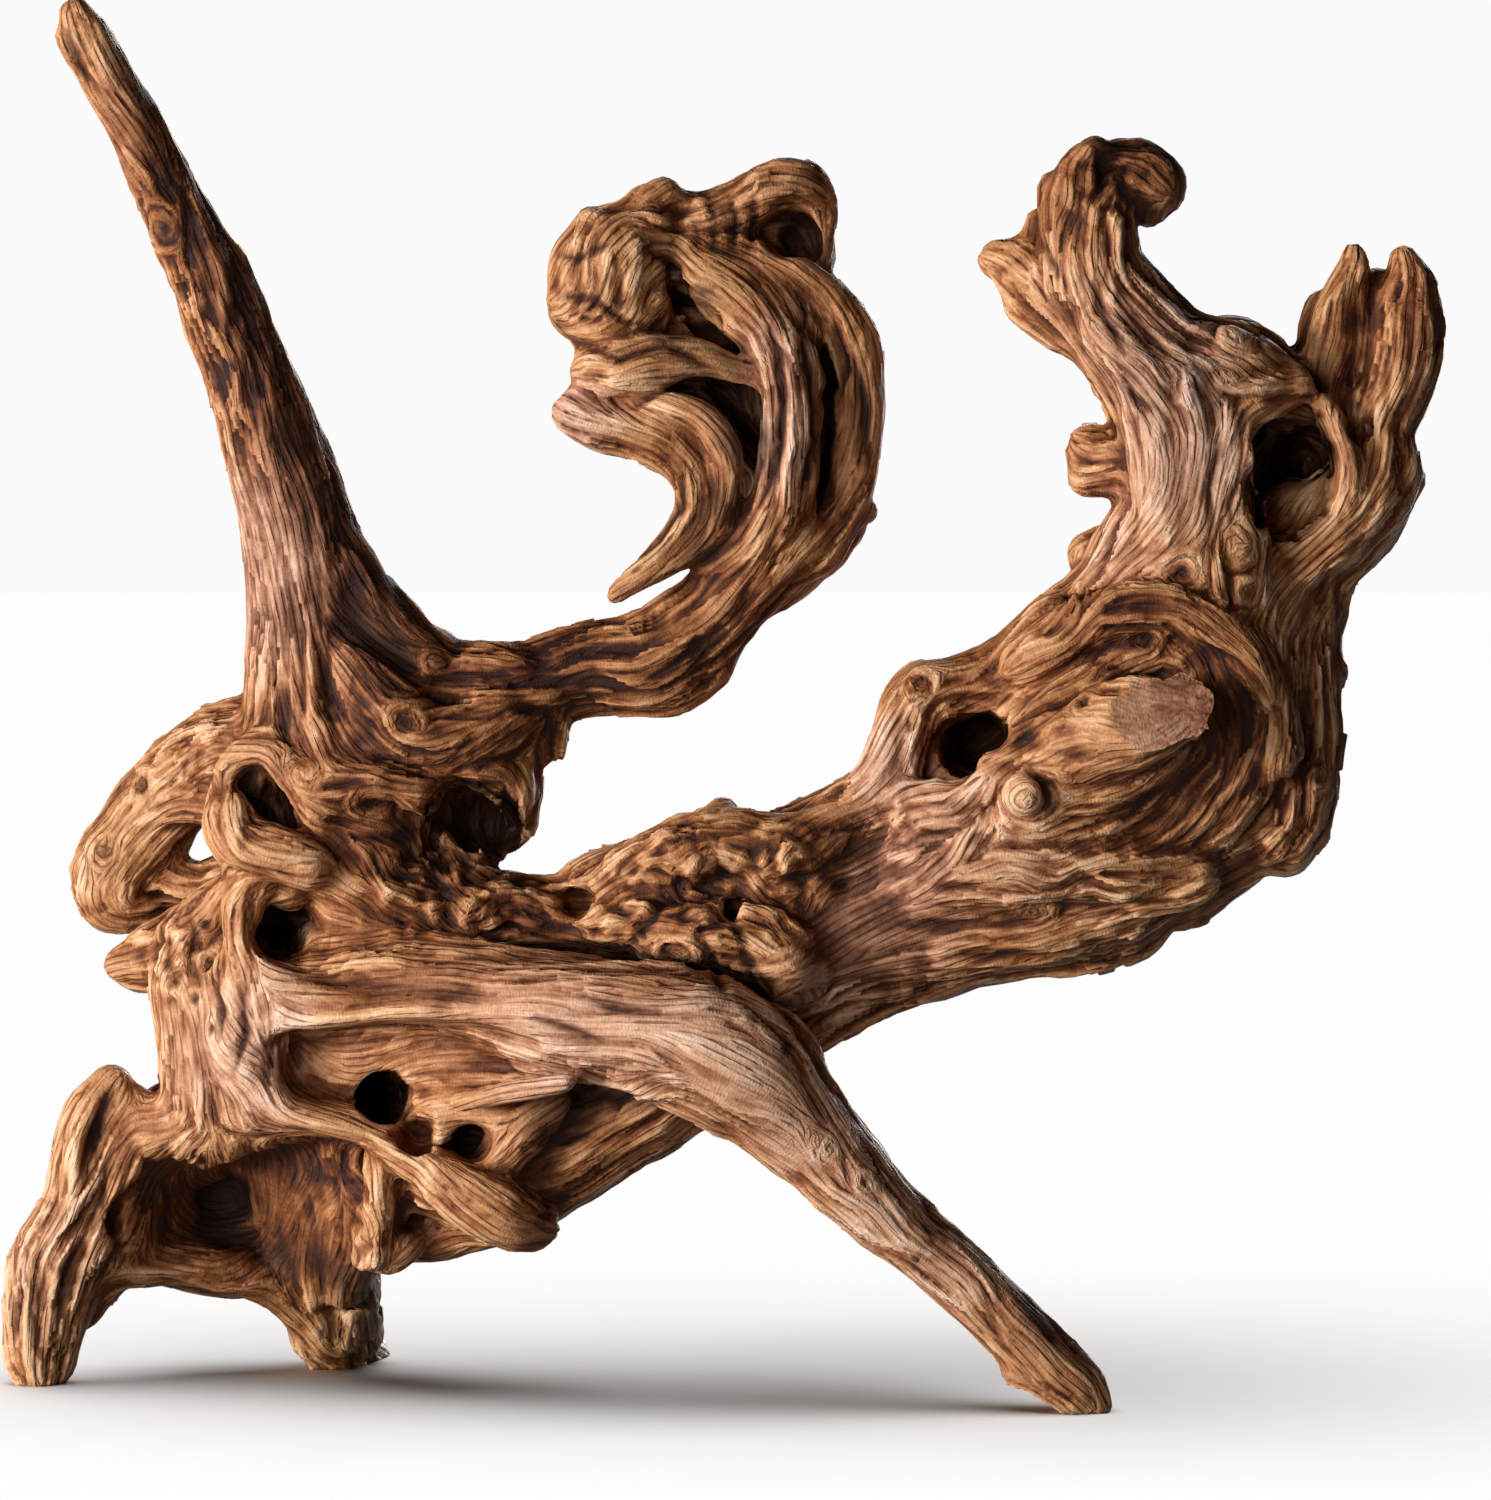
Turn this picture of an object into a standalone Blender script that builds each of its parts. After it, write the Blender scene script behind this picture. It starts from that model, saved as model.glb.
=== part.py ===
"""Aquarium driftwood: one gnarled root that stands on three feet.

The root is grown from strands. A strand is a round stem that follows a smooth path and swells and
thins along it. Voxel remeshing fuses the strands into one skin, carving strands and scoops hollow it
out, and a flat cut levels its three feet.

Strands are laid out on a front elevation, in millimetres, as the root is seen from VIEW_DISTANCE away:
across to the right, up from the ground, depth away from the viewer, and the radius.
"""

import math

import bmesh
import bpy
from mathutils import Matrix, Vector

MM = 0.001
VIEW_DISTANCE = 1800.0
VIEW_HEIGHT = 195.6
VIEW_TILT = math.radians(2.5)
MIDDLE = (-7.8, 24.0)

SKIN = 0.7
GROWN_VOXEL = 2.4
CARVED_VOXEL = 2.0
TRIANGLES = 11300
GROUND_DEPTH = 60.0
SAWN_FACE = (128, 205, -43)
SAWN_SLOPE = (0.10, -0.97, 0.20)

# Each strand's points are (across, up, depth, radius).
SPIKE = {
    "spike": [
        (-201, 416.5, -27, 4.8), (-198.8, 411, -26, 7.0), (-192.5, 400, -24, 7.4), (-182, 380, -20, 8.0),
        (-172.5, 360, -16, 9.2), (-162.5, 340, -12, 10.6), (-154, 320, -8, 12), (-146, 300, -4, 13.6),
        (-139.5, 280, 0, 15.2), (-134, 260, 3, 17.2), (-130, 240, 6, 19.5), (-128, 220, 8, 21.5),
        (-125, 196, 9, 23),
    ],
    "spike_left_root": [(-146, 262, 4, 5), (-141, 238, 2, 8), (-139, 214, 0, 11), (-140, 192, 2, 12)],
    "spike_right_root": [(-126, 268, 0, 5), (-119, 250, -2, 9), (-109, 234, 0, 10), (-98, 221, 0, 11)],
    "spike_bud_high": [(-110, 234, 2, 7), (-103, 235, 3, 6)],
    "spike_bud_low": [(-102, 227, 2, 8), (-93, 226, 2, 6)],
    "spike_lip": [(-200, 405, -28, 4.5), (-203.6, 409.5, -28, 3.2)],
}

CROWN = {
    "crown_core": [(-128, 212, 8, 20), (-120, 190, 8, 25), (-115, 168, 6, 21), (-112, 150, 2, 16)],
    "crown_right": [(-112, 196, 8, 24), (-92, 192, 8, 23), (-80, 184, 6, 20), (-79, 178, 6, 16)],
    "crown_shoulder": [(-105, 212, 4, 13), (-88, 216, 2, 10.6), (-76, 218, 0, 9.6), (-64, 212, 0, 11), (-62, 200, 2, 9)],
    "crown_fan": [(-118, 222, -6, 9), (-104, 206, -12, 9), (-92, 200, -12, 9), (-74, 204, -8, 10)],
    "crown_ridge_low": [(-126, 186, -14, 7), (-108, 186, -17, 5), (-96, 182, -16, 5), (-86, 174, -12, 5)],
    "saddle": [
        (-116, 156, 2, 17), (-98, 152, 2, 14), (-80, 147.4, 3, 12.6), (-64, 145.8, 5, 11.4), (-48, 144.5, 7, 11),
        (-30, 149, 9, 16.5),
    ],
    "saddle_low": [(-112, 138, 12, 12), (-84, 136, 10, 11), (-54, 134, 10, 11), (-22, 130, 10, 14)],
    "crown_lip": [
        (-157, 185, -6, 3.4), (-152.5, 193, -9, 4.2), (-144, 196, -11, 4.6), (-137, 190, -13, 5),
        (-128, 178, -14, 5.4),
    ],
    "knuckle": [(-154, 176, -10, 6.8), (-151, 169, -12, 7.6), (-142, 166, -14, 7.4), (-131, 161, -14, 7)],
    "knuckle_root": [(-156, 184, -4, 4.4), (-155, 172, -6, 7.4), (-148, 162, -4, 7.4)],
    "crown_right_back": [(-92, 200, 22, 16), (-78, 188, 22, 12), (-76, 174, 20, 9)],
    "crown_back": [(-146, 192, 24, 12), (-144, 172, 28, 13), (-140, 152, 30, 15), (-124, 138, 26, 14)],
}

LOOP = {
    "loop": [
        (-138, 196, 10, 15), (-152, 196.5, 12, 14), (-163.5, 190.5, 15, 13.4), (-174, 181.5, 19, 12.8),
        (-182, 169, 24, 13.4), (-187.4, 157.5, 28, 14.8), (-180, 152.5, 31, 11.6), (-166, 150, 33, 10.4),
        (-150, 151, 32, 11), (-138, 156, 24, 12),
    ],
    "loop_fold": [(-178, 175, 12, 4.6), (-172, 180, 9, 5.4), (-164, 180, 8, 6), (-157, 179, 6, 6)],
    "loop_floor": [(-172, 158, 22, 6), (-164, 155, 22, 6.4), (-156, 158, 20, 6)],
    "loop_sole": [(-192, 150, 26, 8), (-186, 147, 27, 6)],
}

RIDGE = {
    "ridge_tip": [(-187, 131, 20, 5.2), (-179, 135, 16, 7), (-168, 141, 10, 8.4), (-157, 149, 3, 8.2), (-148, 156, -5, 6.6)],
    "ridge_rim": [
        (-142, 160, -8, 5), (-149.5, 152, -9, 5.4), (-151, 142, -10, 5.6), (-147.5, 132, -12, 6),
        (-139, 125, -15, 6), (-128, 120, -18, 5.4),
    ],
    "ridge_spur": [(-178, 127, 20, 4.4), (-184, 128, 20, 4.4), (-187, 131, 20, 4)],
    "cheek_left": [(-166, 134, 10, 11), (-166, 120, 10, 11.6), (-162.6, 106, 10, 13.2), (-158, 90, 12, 15.5), (-152, 74, 20, 12)],
    "cheek_mid": [(-152, 128, 0, 11), (-150, 112, 2, 14), (-146, 96, 6, 15), (-142, 84, 12, 14)],
    "ridge_ball": [(-137, 156, -2, 5), (-137, 152, -6, 4.8)],
}

FRONT_BAR = {
    "bar": [
        (-140, 130, 4, 12), (-122, 129, -4, 13), (-100, 127, -14, 12), (-78, 122, -22, 13.8),
        (-56, 117, -29, 16), (-34, 114, -33, 17.4), (-14, 109, -35, 19.8), (0, 100, -35, 19.2),
        (12, 87, -34, 15.8), (25.2, 73.8, -33, 13.2), (41, 57.2, -32, 11.6), (51.6, 48.6, -31, 10.4),
        (62.6, 39, -30, 9.6), (72.6, 29.9, -29, 9.3), (82.4, 20.6, -28, 9.6), (93, 10, -27, 9.4),
        (100.5, 3.4, -26.5, 8.4), (103.5, 0, -26, 6.2),
    ],
    "bar_top_flute": [(-118, 134, -8, 7), (-90, 134, -16, 6), (-60, 129, -26, 6), (-32, 126, -32, 6), (-12, 122, -34, 6)],
    "bar_rim_flute": [(-130, 120, -18, 5), (-112, 117, -22, 4.4), (-90, 116, -27, 4.4), (-70, 113, -32, 5)],
    "bar_under_flute": [(-66, 106, -24, 7), (-44, 103, -32, 7), (-24, 97, -36, 8), (-6, 88, -36, 8)],
    "elbow": [(-14, 114, -34, 10), (4, 110, -30, 11), (11, 104, -28, 11), (14, 94, -28, 10)],
    "tip_spur": [(82, 10, -28, 5), (79.5, 8.5, -28, 2.4)],
}

TRUNK = {
    "trunk_low": [
        (-67, 62.6, 0, 12), (-55.4, 74, 2, 16.2), (-35, 91.6, 6, 21), (-8, 112, 10, 23.5), (24, 134, 12, 25),
        (58, 148, 12, 25.5), (92, 160, 12, 30), (120, 177, 14, 33), (136, 202, 13, 36), (142, 226, 11, 33),
        (150, 246, 9, 25), (163, 260, 10, 17),
    ],
    "trunk_high": [
        (-40, 149, 8, 17), (-16, 151, 10, 23), (8, 153, 12, 24), (34, 164, 14, 22.5), (56, 178, 18, 22),
        (82, 196, 16, 29), (104, 214, 12, 31), (122, 234, 8, 29), (130, 254, 4, 24),
    ],
    "trunk_back": [(-20, 124, 26, 19), (30, 148, 30, 22), (80, 172, 30, 28), (120, 204, 28, 32), (140, 240, 24, 24)],
    "trunk_right_rib": [
        (132, 153, 8, 10), (150, 169, 6, 12.4), (161.6, 177, 4, 14.2), (165.5, 196, 4, 12), (165, 214, 4, 13),
        (167, 233, 6, 12), (173.5, 249, 10, 10), (186, 266, 12, 11),
    ],
    "rib_spur_low": [(170, 208, 4, 6), (174, 210, 4, 4)],
    "rib_spur_high": [(170, 220, 4, 7), (177, 219, 4, 4)],
    "rib_corner": [(160, 170, 2, 11), (168, 172, 4, 8)],
    "trunk_belly": [(60, 140, -2, 12), (88, 145, -4, 14), (114, 152, -2, 13.5), (142, 168, 0, 9.4), (160, 172, 2, 10)],
    "trunk_sole": [(82, 141.4, 8, 12), (99, 140.4, 8, 12), (114, 144.6, 8, 12)],
    "trunk_front_swell": [(58, 160, -8, 16), (84, 164, -12, 18), (106, 162, -10, 15)],
    "hole_arch": [
        (27, 173, 2, 10), (39, 183, -2, 9), (46, 197.5, -3, 8.6), (52, 211, -3, 9.6), (63, 214, 0, 9.6), (78, 219, 0, 10.8),
        (94, 231, -2, 11.6),
    ],
    "hole_lip": [(52, 178, -14, 8), (66, 184, -20, 6.6), (78, 194, -23, 6), (92, 207, -22, 6), (106, 214, -20, 7)],
    "rough_top": [(-34, 158, -2, 10), (-20, 163, -6, 11), (-5, 167, -4, 11), (12, 165, -6, 12), (30, 174, -2, 9)],
    "rough_front": [(-44, 144, -6, 7), (-26, 142, -12, 9), (-8, 140, -14, 11), (8, 136, -14, 12), (16, 128, -12, 9)],
    "rough_nose": [(10, 138, -18, 8), (12, 130, -20, 8), (14, 124, -18, 6)],
    "top_bud": [(-8, 174, 4, 6), (-6.5, 177, 4, 4.4)],
}

STUB = {
    "stub": [(84, 190, -14, 14), (100, 198, -24, 15), (115, 203, -34, 14), (131, 208.5, -40, 9.5)],
    "stub_base": [(98, 182, -14, 15), (112, 190, -18, 15), (122, 198, -22, 12)],
    "knot": [(84, 183, -22, 8), (85, 182, -29, 7)],
    "collar_top": [(84, 222, -12, 8), (104, 235, -17, 7.5), (124, 238, -20, 7.5), (143, 230, -20, 8), (154, 213, -18, 9), (158, 196, -14, 9)],
    "collar_low": [(100, 164, -18, 9), (118, 157, -18, 9), (134, 157, -14, 8)],
}

FORK = {
    "stem": [
        (140, 236, -2, 20), (136, 256, -4, 18), (133, 276, -4, 18), (130, 296, -2, 19.6), (121.5, 313, 0, 19),
        (111, 327, 0, 17.5), (104, 340, -2, 15.5), (104.5, 352, -4, 12.8), (106, 363, -4, 9.5),
    ],
    "stem_flute": [(126, 262, -14, 8), (122, 288, -14, 8), (118, 308, -14, 8), (108, 322, -12, 8)],
    "hook": [(104, 356, -2, 10), (109, 367, 0, 9.6), (118, 368, 0, 9.8), (122.5, 365, 0, 9), (121, 360, 2, 7.2)],
    "hook_crest": [(97, 352, -6, 8), (97, 362, -8, 7), (101, 371, -8, 6.2), (105, 375, -6, 5)],
    "hook_left_crest": [(94, 350, -2, 5.6), (92.5, 360, -2, 5.2), (92, 364, -1, 4.4)],
    "left_spur": [(103, 330, 2, 14), (90, 336, 4, 11.4), (81.5, 341, 6, 8.6), (76.4, 343, 8, 6)],
    "left_spur_low": [(104, 322, 4, 11), (94, 325, 6, 9.4), (85, 330, 7, 7.4)],
    "left_spur_web": [(96, 342, 4, 8), (88, 346, 6, 6), (88, 354, 6, 4)],
    "left_knob_high": [(122, 283, 4, 13), (109, 283, 5, 10.4), (103.8, 285.6, 6, 7.4)],
    "left_knob_ledge": [(110, 277, 4, 6), (103.2, 278, 5, 6.4)],
    "left_knob_low": [(118, 252, 14, 12), (107, 255, 18, 9), (103, 255, 19, 6)],
    "bridge": [(134, 302, 4, 17), (146, 310.4, 6, 15.5), (158, 306, 10, 11.4), (170, 302, 14, 11), (180, 296, 14, 10)],
    "pocket_back": [(150, 262, 22, 15), (154, 282, 30, 15), (168, 296, 30, 15), (182, 282, 26, 14), (178, 264, 20, 14)],
    "pocket_sill": [(152, 253, -4, 9), (166, 252, -4, 8), (176, 258, -4, 8)],
    "right_wall": [
        (174, 261, 4, 15), (188.5, 277, 6, 13.4), (188.8, 292, 8, 11.2), (194.6, 308, 8, 12), (198.6, 324, 8, 11.6),
        (199, 336, 8, 8), (197.5, 342.5, 8, 4.4),
    ],
    "right_back": [(178, 300, 18, 10), (184, 316, 20, 10), (188, 330, 18, 9), (189, 334, 16, 6)],
    "right_left_wall": [(176, 300, 8, 8), (176, 314, 8, 9), (179, 328, 8, 8.2), (182.5, 340, 8, 5.4), (182.5, 344.5, 8, 3.2)],
    "right_flap": [(174, 312, 14, 7), (171.6, 322, 15, 5.6), (172.6, 329, 16, 4.2)],
    "pocket_rim": [(174, 299, -4, 3.8), (178, 290, -6, 3.8), (180, 280, -7, 4), (178, 268, -6, 5), (168, 258, -6, 6)],
    "elbow_knob": [(188, 273, 6, 11), (196.5, 276, 6, 7.6), (199, 277, 6, 5)],
}

CURL = {
    "curl_stem": [
        (-90, 206, 6, 14), (-66, 213.4, 6, 14), (-46, 219.8, 5, 13.8), (-28, 222.3, 4, 15.6), (-14, 232, 3, 13.6),
        (1, 247.5, 2, 11.4), (15, 260, 2, 12.2),
    ],
    "curl_stem_under": [(-38, 216, 4, 8), (-22, 214, 2, 8), (-10, 221, 2, 7), (-6, 225, 2, 4.4)],
    "curl_stem_low": [(0, 240, 8, 7), (13, 248, 10, 8), (22, 259, 10, 9)],
    "flute_inner": [
        (-10, 250, -3, 6.4), (1, 257, -5, 8.6), (9.5, 268, -7, 9.4), (13, 285, -8, 9), (13.5, 302, -8, 8.4),
        (9.5, 317, -7, 9), (1, 328, -6, 10), (-8, 336, -5, 10), (-16, 344, -2, 9.4),
    ],
    "flute_top": [(16, 312, -5, 6), (13, 326, -4, 8), (5, 336, -3, 9), (-4, 343, -2, 9)],
    "flute_outer": [
        (21, 256, 2, 8), (30, 270, 0, 6.6), (33.5, 286, -1, 7), (34.2, 304, -1, 7), (31.5, 320, -2, 7.4),
        (25, 331, -4, 6.6), (15, 339, -7, 5), (6, 345, -9, 3.8),
    ],
    "flute_back": [(26, 264, 12, 9), (29, 284, 14, 10.6), (29.5, 304, 14, 11), (26, 320, 14, 11), (16, 334, 12, 10)],
    "splinter": [(22, 306, -9, 2.6), (18.5, 313, -10, 3), (16, 319, -10, 2)],
    "outer_knob": [(28, 271, 4, 6.6), (33, 267.5, 5, 5.4), (36.2, 267, 5, 3.6)],
    "curl_backing": [(4, 262, 16, 10), (4, 290, 20, 12), (-2, 315, 20, 13), (-16, 332, 18, 13), (-32, 340, 12, 14)],
    "crest": [(-24, 354, 4, 9.4), (-10, 354.5, 2, 8.2), (0, 359, 0, 7.4), (8, 364.5, -2, 7.4), (16, 365, 0, 7.6), (21, 359, 4, 6.2), (21, 347, 8, 5.4)],
    "crest_back": [(-6, 348, 12, 9), (10, 351, 14, 9.4), (19, 345, 14, 8)],
    "fringe": [(-12, 356, -4, 4.6), (-9, 348, -7, 4), (-5, 345, -8, 3)],
    "head": [(-43, 339, -2, 15.4), (-38, 342.5, -2, 18), (-30, 349, 0, 13)],
    "head_low": [(-49.5, 329, -4, 10), (-40, 326, -8, 10), (-30, 328, -8, 7)],
    "head_bud": [(-29, 357, -2, 7.6), (-24.5, 361.5, -2, 5.4)],
    "brow": [(-45.5, 308, -10, 7), (-38, 310, -13, 8.6), (-26, 312.5, -14, 7.6), (-14, 313.5, -13, 5.2), (-3, 309.5, -10, 3.4), (5, 306.5, -6, 2.4)],
    "brow_back": [(-42, 314, 0, 9), (-26, 318, 4, 10), (-10, 318, 8, 9)],
    "claw_outer": [
        (-51.5, 297, -10, 6.2), (-44, 293.5, -12, 7.4), (-35, 291.5, -13, 7.4), (-25, 288, -13, 7.8), (-17, 279.5, -12, 6.4),
        (-16, 268, -10, 5.4), (-21, 259, -9, 4.8), (-30, 250, -10, 3.8), (-39, 242.2, -12, 2.6),
    ],
    "claw_inner": [
        (-33, 297, -13, 3.6), (-23, 298, -17, 4.6), (-13, 295, -18, 4.6), (-7, 286.5, -17, 5), (-6, 276, -13, 4.6),
        (-8.5, 266, -11, 4.4), (-16, 257, -10, 4.4), (-25, 250.4, -11, 3.4), (-34, 245, -12, 2.6), (-39.4, 241.2, -12, 2.0),
    ],
    "claw_back": [(-44, 298, 0, 6), (-28, 300, 6, 8), (-12, 298, 10, 8), (0, 286, 12, 8)],
}

HOLLOW_FOOT = {
    "wing_outer": [
        (-190, 94.8, 18, 5.8), (-194.6, 86.6, 18, 8.6), (-198, 74, 19, 9.2), (-202, 59, 21, 8.8), (-209.6, 43, 24, 10.4),
        (-212.2, 26, 27, 9.8), (-213, 13, 29, 8.4), (-212.5, 7, 30, 5.8),
    ],
    "wing_inner": [
        (-184, 88, 18, 7), (-187, 72, 20, 8), (-195, 54, 23, 8), (-202, 38, 26, 8.4), (-206, 24, 28, 8.2), (-208, 12, 30, 6.4),
    ],
    "wing_neck": [(-184, 85, 18, 7), (-174, 83, 16, 9), (-162, 86, 14, 12)],
    "wing_keel": [(-192, 66, 30, 8), (-192, 50, 34, 9), (-192, 40, 36, 7), (-199, 28, 34, 6)],
    "cave_floor": [
        (-192, 42, 32, 7), (-182, 42, 36, 7.6), (-168, 42, 40, 7), (-154, 39, 44, 6.6), (-142, 35.5, 49, 6.6), (-131.4, 27, 56, 7.2),
        (-125.4, 18.4, 62, 9), (-121, 14, 74, 9), (-117, 12, 86, 9), (-114, 11, 96, 8),
    ],
    "cave_floor_back": [(-176, 46, 48, 10), (-156, 42, 54, 10), (-138, 40, 60, 9), (-124, 30, 68, 9), (-117, 21, 72, 8)],
    "cave_back": [(-180, 64, 46, 12), (-160, 64, 54, 14), (-136, 60, 56, 15), (-112, 58, 50, 15), (-90, 60, 36, 14)],
    "cave_back_top": [(-172, 84, 34, 12), (-150, 84, 42, 15), (-124, 84, 44, 16), (-98, 84, 38, 18), (-70, 84, 24, 18)],
    "cave_roof": [(-164, 98, 26, 12), (-140, 104, 30, 14), (-110, 108, 26, 16), (-76, 110, 18, 16)],
    "brow_ridge": [
        (-176, 80, 14, 7), (-158, 84, 4, 7), (-140, 85, -4, 6), (-122, 84.5, -10, 4.8), (-109, 79, -14, 4.6), (-100, 71, -16, 5),
    ],
    "mask": [(-150, 104, 8, 15), (-128, 104, 6, 15), (-104, 106, 2, 16), (-80, 106, -4, 15), (-60, 108, -10, 14)],
    "mask_low": [(-122, 90, 4, 10), (-100, 88, 0, 12), (-84, 88, -4, 12), (-66, 88, -8, 12)],
    "eye_ring": [(-92, 88, -14, 4.4), (-82, 88, -16, 4.6), (-72, 84, -17, 5), (-70, 76, -17, 5), (-76, 69, -17, 5)],
    "lobe": [(-98, 72, -15, 5.4), (-89, 66, -18, 8.4), (-78, 60, -19, 10.4), (-68, 54.4, -16, 9.6), (-63.5, 53, -13, 7.6)],
    "lobe_back": [(-92, 66, -2, 10), (-76, 64, -2, 13), (-64, 66, -2, 13)],
    "lobe_knob": [(-74, 76, -14, 8), (-64, 84, -16, 8), (-58, 90, -16, 6)],
    "tooth": [(-108, 74, -8, 6), (-110.5, 62, -6, 6.4), (-112.5, 51, -5, 6), (-114.5, 44, -5, 4.8)],
    "tooth_hook": [(-112, 48, -4, 5.4), (-108, 43.4, -2, 4.8), (-102, 46, 0, 5)],
    "chin": [(-106, 52, 16, 9), (-94, 51, 12, 9), (-82, 54, 6, 8.8), (-76, 54, 2, 8)],
    "foot_cliff": [(-120, 40, 42, 9), (-116, 33, 52, 6.6), (-115.5, 24, 62, 6)],
}

GROWN = [SPIKE, CROWN, LOOP, RIDGE, FRONT_BAR, TRUNK, STUB, FORK, CURL, HOLLOW_FOOT]

CARVED = {
    "crown_cave": [(-92, 181, -26, 6), (-85, 177, -12, 10), (-79, 174, -1, 9.6), (-70, 168, 2, 7)],
    "notch_behind_knuckle": [(-150, 184, -20, 3.6), (-144, 182, -10, 5.6), (-138, 177, -2, 6), (-132, 171, -2, 5)],
    "loop_dish": [(-171, 165, 4, 5), (-163, 165, 10, 5)],
    "ridge_cave": [(-132, 141, -34, 7), (-138, 140.5, -18, 8.6), (-140, 140, 0, 8), (-140, 142, 8, 6)],
    "ridge_bowl": [(-124, 147, -34, 13), (-118, 144, -28, 14)],
    "mask_scoop": [
        (-136, 100, -16, 7), (-126, 101, -22, 11), (-110, 102, -28, 13), (-92, 103, -32, 12), (-76, 104, -38, 9),
        (-66, 104, -42, 6),
    ],
    "mask_cave": [(-108, 92, -34, 8.4), (-108, 91, -14, 8.6), (-112, 90, 10, 9), (-116, 86, 26, 8)],
    "mask_pit": [(-99, 80, -30, 7), (-98, 80, -17, 7), (-98, 81, -12, 5)],
    "eye_cave": [(-82, 78, -34, 6), (-82, 78, -18, 6.4), (-84, 79, -4, 6)],
    "cave": [(-126, 62, -20, 15), (-136, 60, 6, 19), (-150, 60, 26, 17), (-158, 60, 38, 12)],
    "cave_left": [(-160, 62, 2, 12), (-174, 60, 14, 10), (-186, 56, 22, 8)],
    "cave_right": [(-128, 58, 6, 17), (-112, 56, 20, 10), (-98, 56, 6, 8)],
    "cave_low": [(-136, 46, 22, 9), (-124, 36, 44, 7), (-113, 30, 56, 5)],
    "hole": [(60, 192, -40, 8), (62, 193, -22, 8), (66, 196, -4, 9), (70, 198, 14, 9)],
    "hole_side": [(72, 200, -32, 6.4), (73, 201, -14, 7), (72, 200, 4, 7)],
    "knot_slit": [(86, 190, -34, 2), (91, 184, -34, 2.4), (92, 178, -33, 2)],
    "stub_moat_top": [
        (92, 212, -32, 5), (106, 222, -30, 7), (124, 225, -29, 7), (140, 219, -28, 8), (149, 204, -26, 8.6), (145, 190, -27, 8.6),
    ],
    "stub_moat_low": [(145, 190, -27, 8.6), (134, 180, -28, 9.4), (121, 176, -30, 8)],
    "trunk_shade": [(28, 152, -26, 9), (40, 144, -26, 9), (54, 140, -26, 7)],
    "trunk_gutter": [(120, 146, -26, 6), (140, 168, -30, 10), (152, 186, -30, 10), (156, 204, -28, 7)],
    "nose_hole": [(26, 158, -22, 3.4), (30, 155, -10, 4)],
    "rough_pit": [(-5, 148, -30, 3.6), (-4, 147, -12, 4)],
    "saddle_pit": [(-52, 149, -22, 5), (-50, 150, -2, 6)],
    "pocket": [(168, 271, -32, 12), (165, 275, -14, 14.6), (162, 278, 2, 13)],
    "pocket_high": [(164, 283, -26, 8), (161, 285, -10, 11), (160, 286, 6, 11), (166, 292, 8, 8)],
    "pocket_slot": [(173, 303, -14, 4), (173, 312, -10, 4), (172, 318, -8, 4)],
    "trough": [(181, 304, -8, 7), (185, 318, -6, 8), (189, 332, -5, 7.5), (191, 346, -4, 6.5)],
    "ledge_cave": [(186, 291, -14, 4), (184, 292, -4, 5)],
    "curl_gap": [
        (-4, 262, -26, 2.4), (1, 275, -26, 3), (2, 292, -26, 3.4), (-3, 304, -26, 6), (-14, 306, -26, 4),
    ],
    "curl_gap_deep": [(-10, 256, -6, 4), (0, 272, -2, 5), (2, 290, 0, 6), (-4, 304, 0, 8), (-18, 306, -4, 5)],
    "head_gap": [(-24, 340, -24, 3), (-18, 330, -20, 4), (-11, 322, -16, 4), (-2, 317, -14, 4)],
    "head_gap_deep": [(-22, 338, -8, 4), (-16, 328, -4, 5), (-8, 320, 0, 5)],
    "crest_cave": [(10, 350, -18, 7), (14, 350, -4, 8.4), (17, 348, 6, 7)],
    "flute_groove": [(24, 268, -16, 2.6), (27.5, 285, -14, 3), (27.5, 304, -14, 3), (24.5, 318, -14, 3)],
    "claw_groove": [(-32, 301, -24, 1.8), (-26, 304.5, -22, 2.4), (-16, 305, -18, 2.4)],
    "wing_slit": [(-189, 91, 6, 1.6), (-194, 82, 9, 2.2), (-197, 73, 10, 1.6)],
    "ridge_slit": [(-183, 132, 6, 1.6), (-176, 137, 4, 1.6), (-170, 139, 2, 1.4)],
    "ridge_gully": [(-158, 142, -8, 2.4), (-160, 132, -4, 2.6), (-160, 124, -2, 2)],
}


def place(across, up, depth):
    """The world point, in millimetres, of a point of the front elevation, and how much larger than drawn it is there."""
    eye = Vector((0, -VIEW_DISTANCE * math.cos(VIEW_TILT), VIEW_HEIGHT + VIEW_DISTANCE * math.sin(VIEW_TILT)))
    rise = up - VIEW_HEIGHT
    drawn = Vector((across, rise * math.sin(VIEW_TILT), VIEW_HEIGHT + rise * math.cos(VIEW_TILT)))
    growth = (depth - eye.y) / (drawn.y - eye.y)
    return eye + growth * (drawn - eye) - Vector((*MIDDLE, 0)), growth


def link(name, data, collection):
    obj = bpy.data.objects.new(name, data)
    collection.objects.link(obj)
    return obj


def strand(name, points, collection, skin):
    """A round stem as a closed mesh: a Bezier curve with a bevel, thick and thin along its points."""
    curve = bpy.data.curves.new(name, "CURVE")
    curve.dimensions = "3D"
    curve.bevel_depth = MM
    curve.bevel_resolution = 3
    curve.resolution_u = 5
    curve.use_fill_caps = True
    spline = curve.splines.new("BEZIER")
    spline.bezier_points.add(len(points) - 1)
    for knot, (across, up, depth, radius) in zip(spline.bezier_points, points):
        centre, growth = place(across, up, depth)
        knot.co = centre * MM
        knot.radius = (radius + skin) * growth
        knot.handle_left_type = knot.handle_right_type = "AUTO"
    obj = link(name, curve, collection)
    graph = bpy.context.evaluated_depsgraph_get()
    mesh = bpy.data.meshes.new_from_object(obj.evaluated_get(graph))
    bpy.data.objects.remove(obj)
    return mesh


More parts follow.
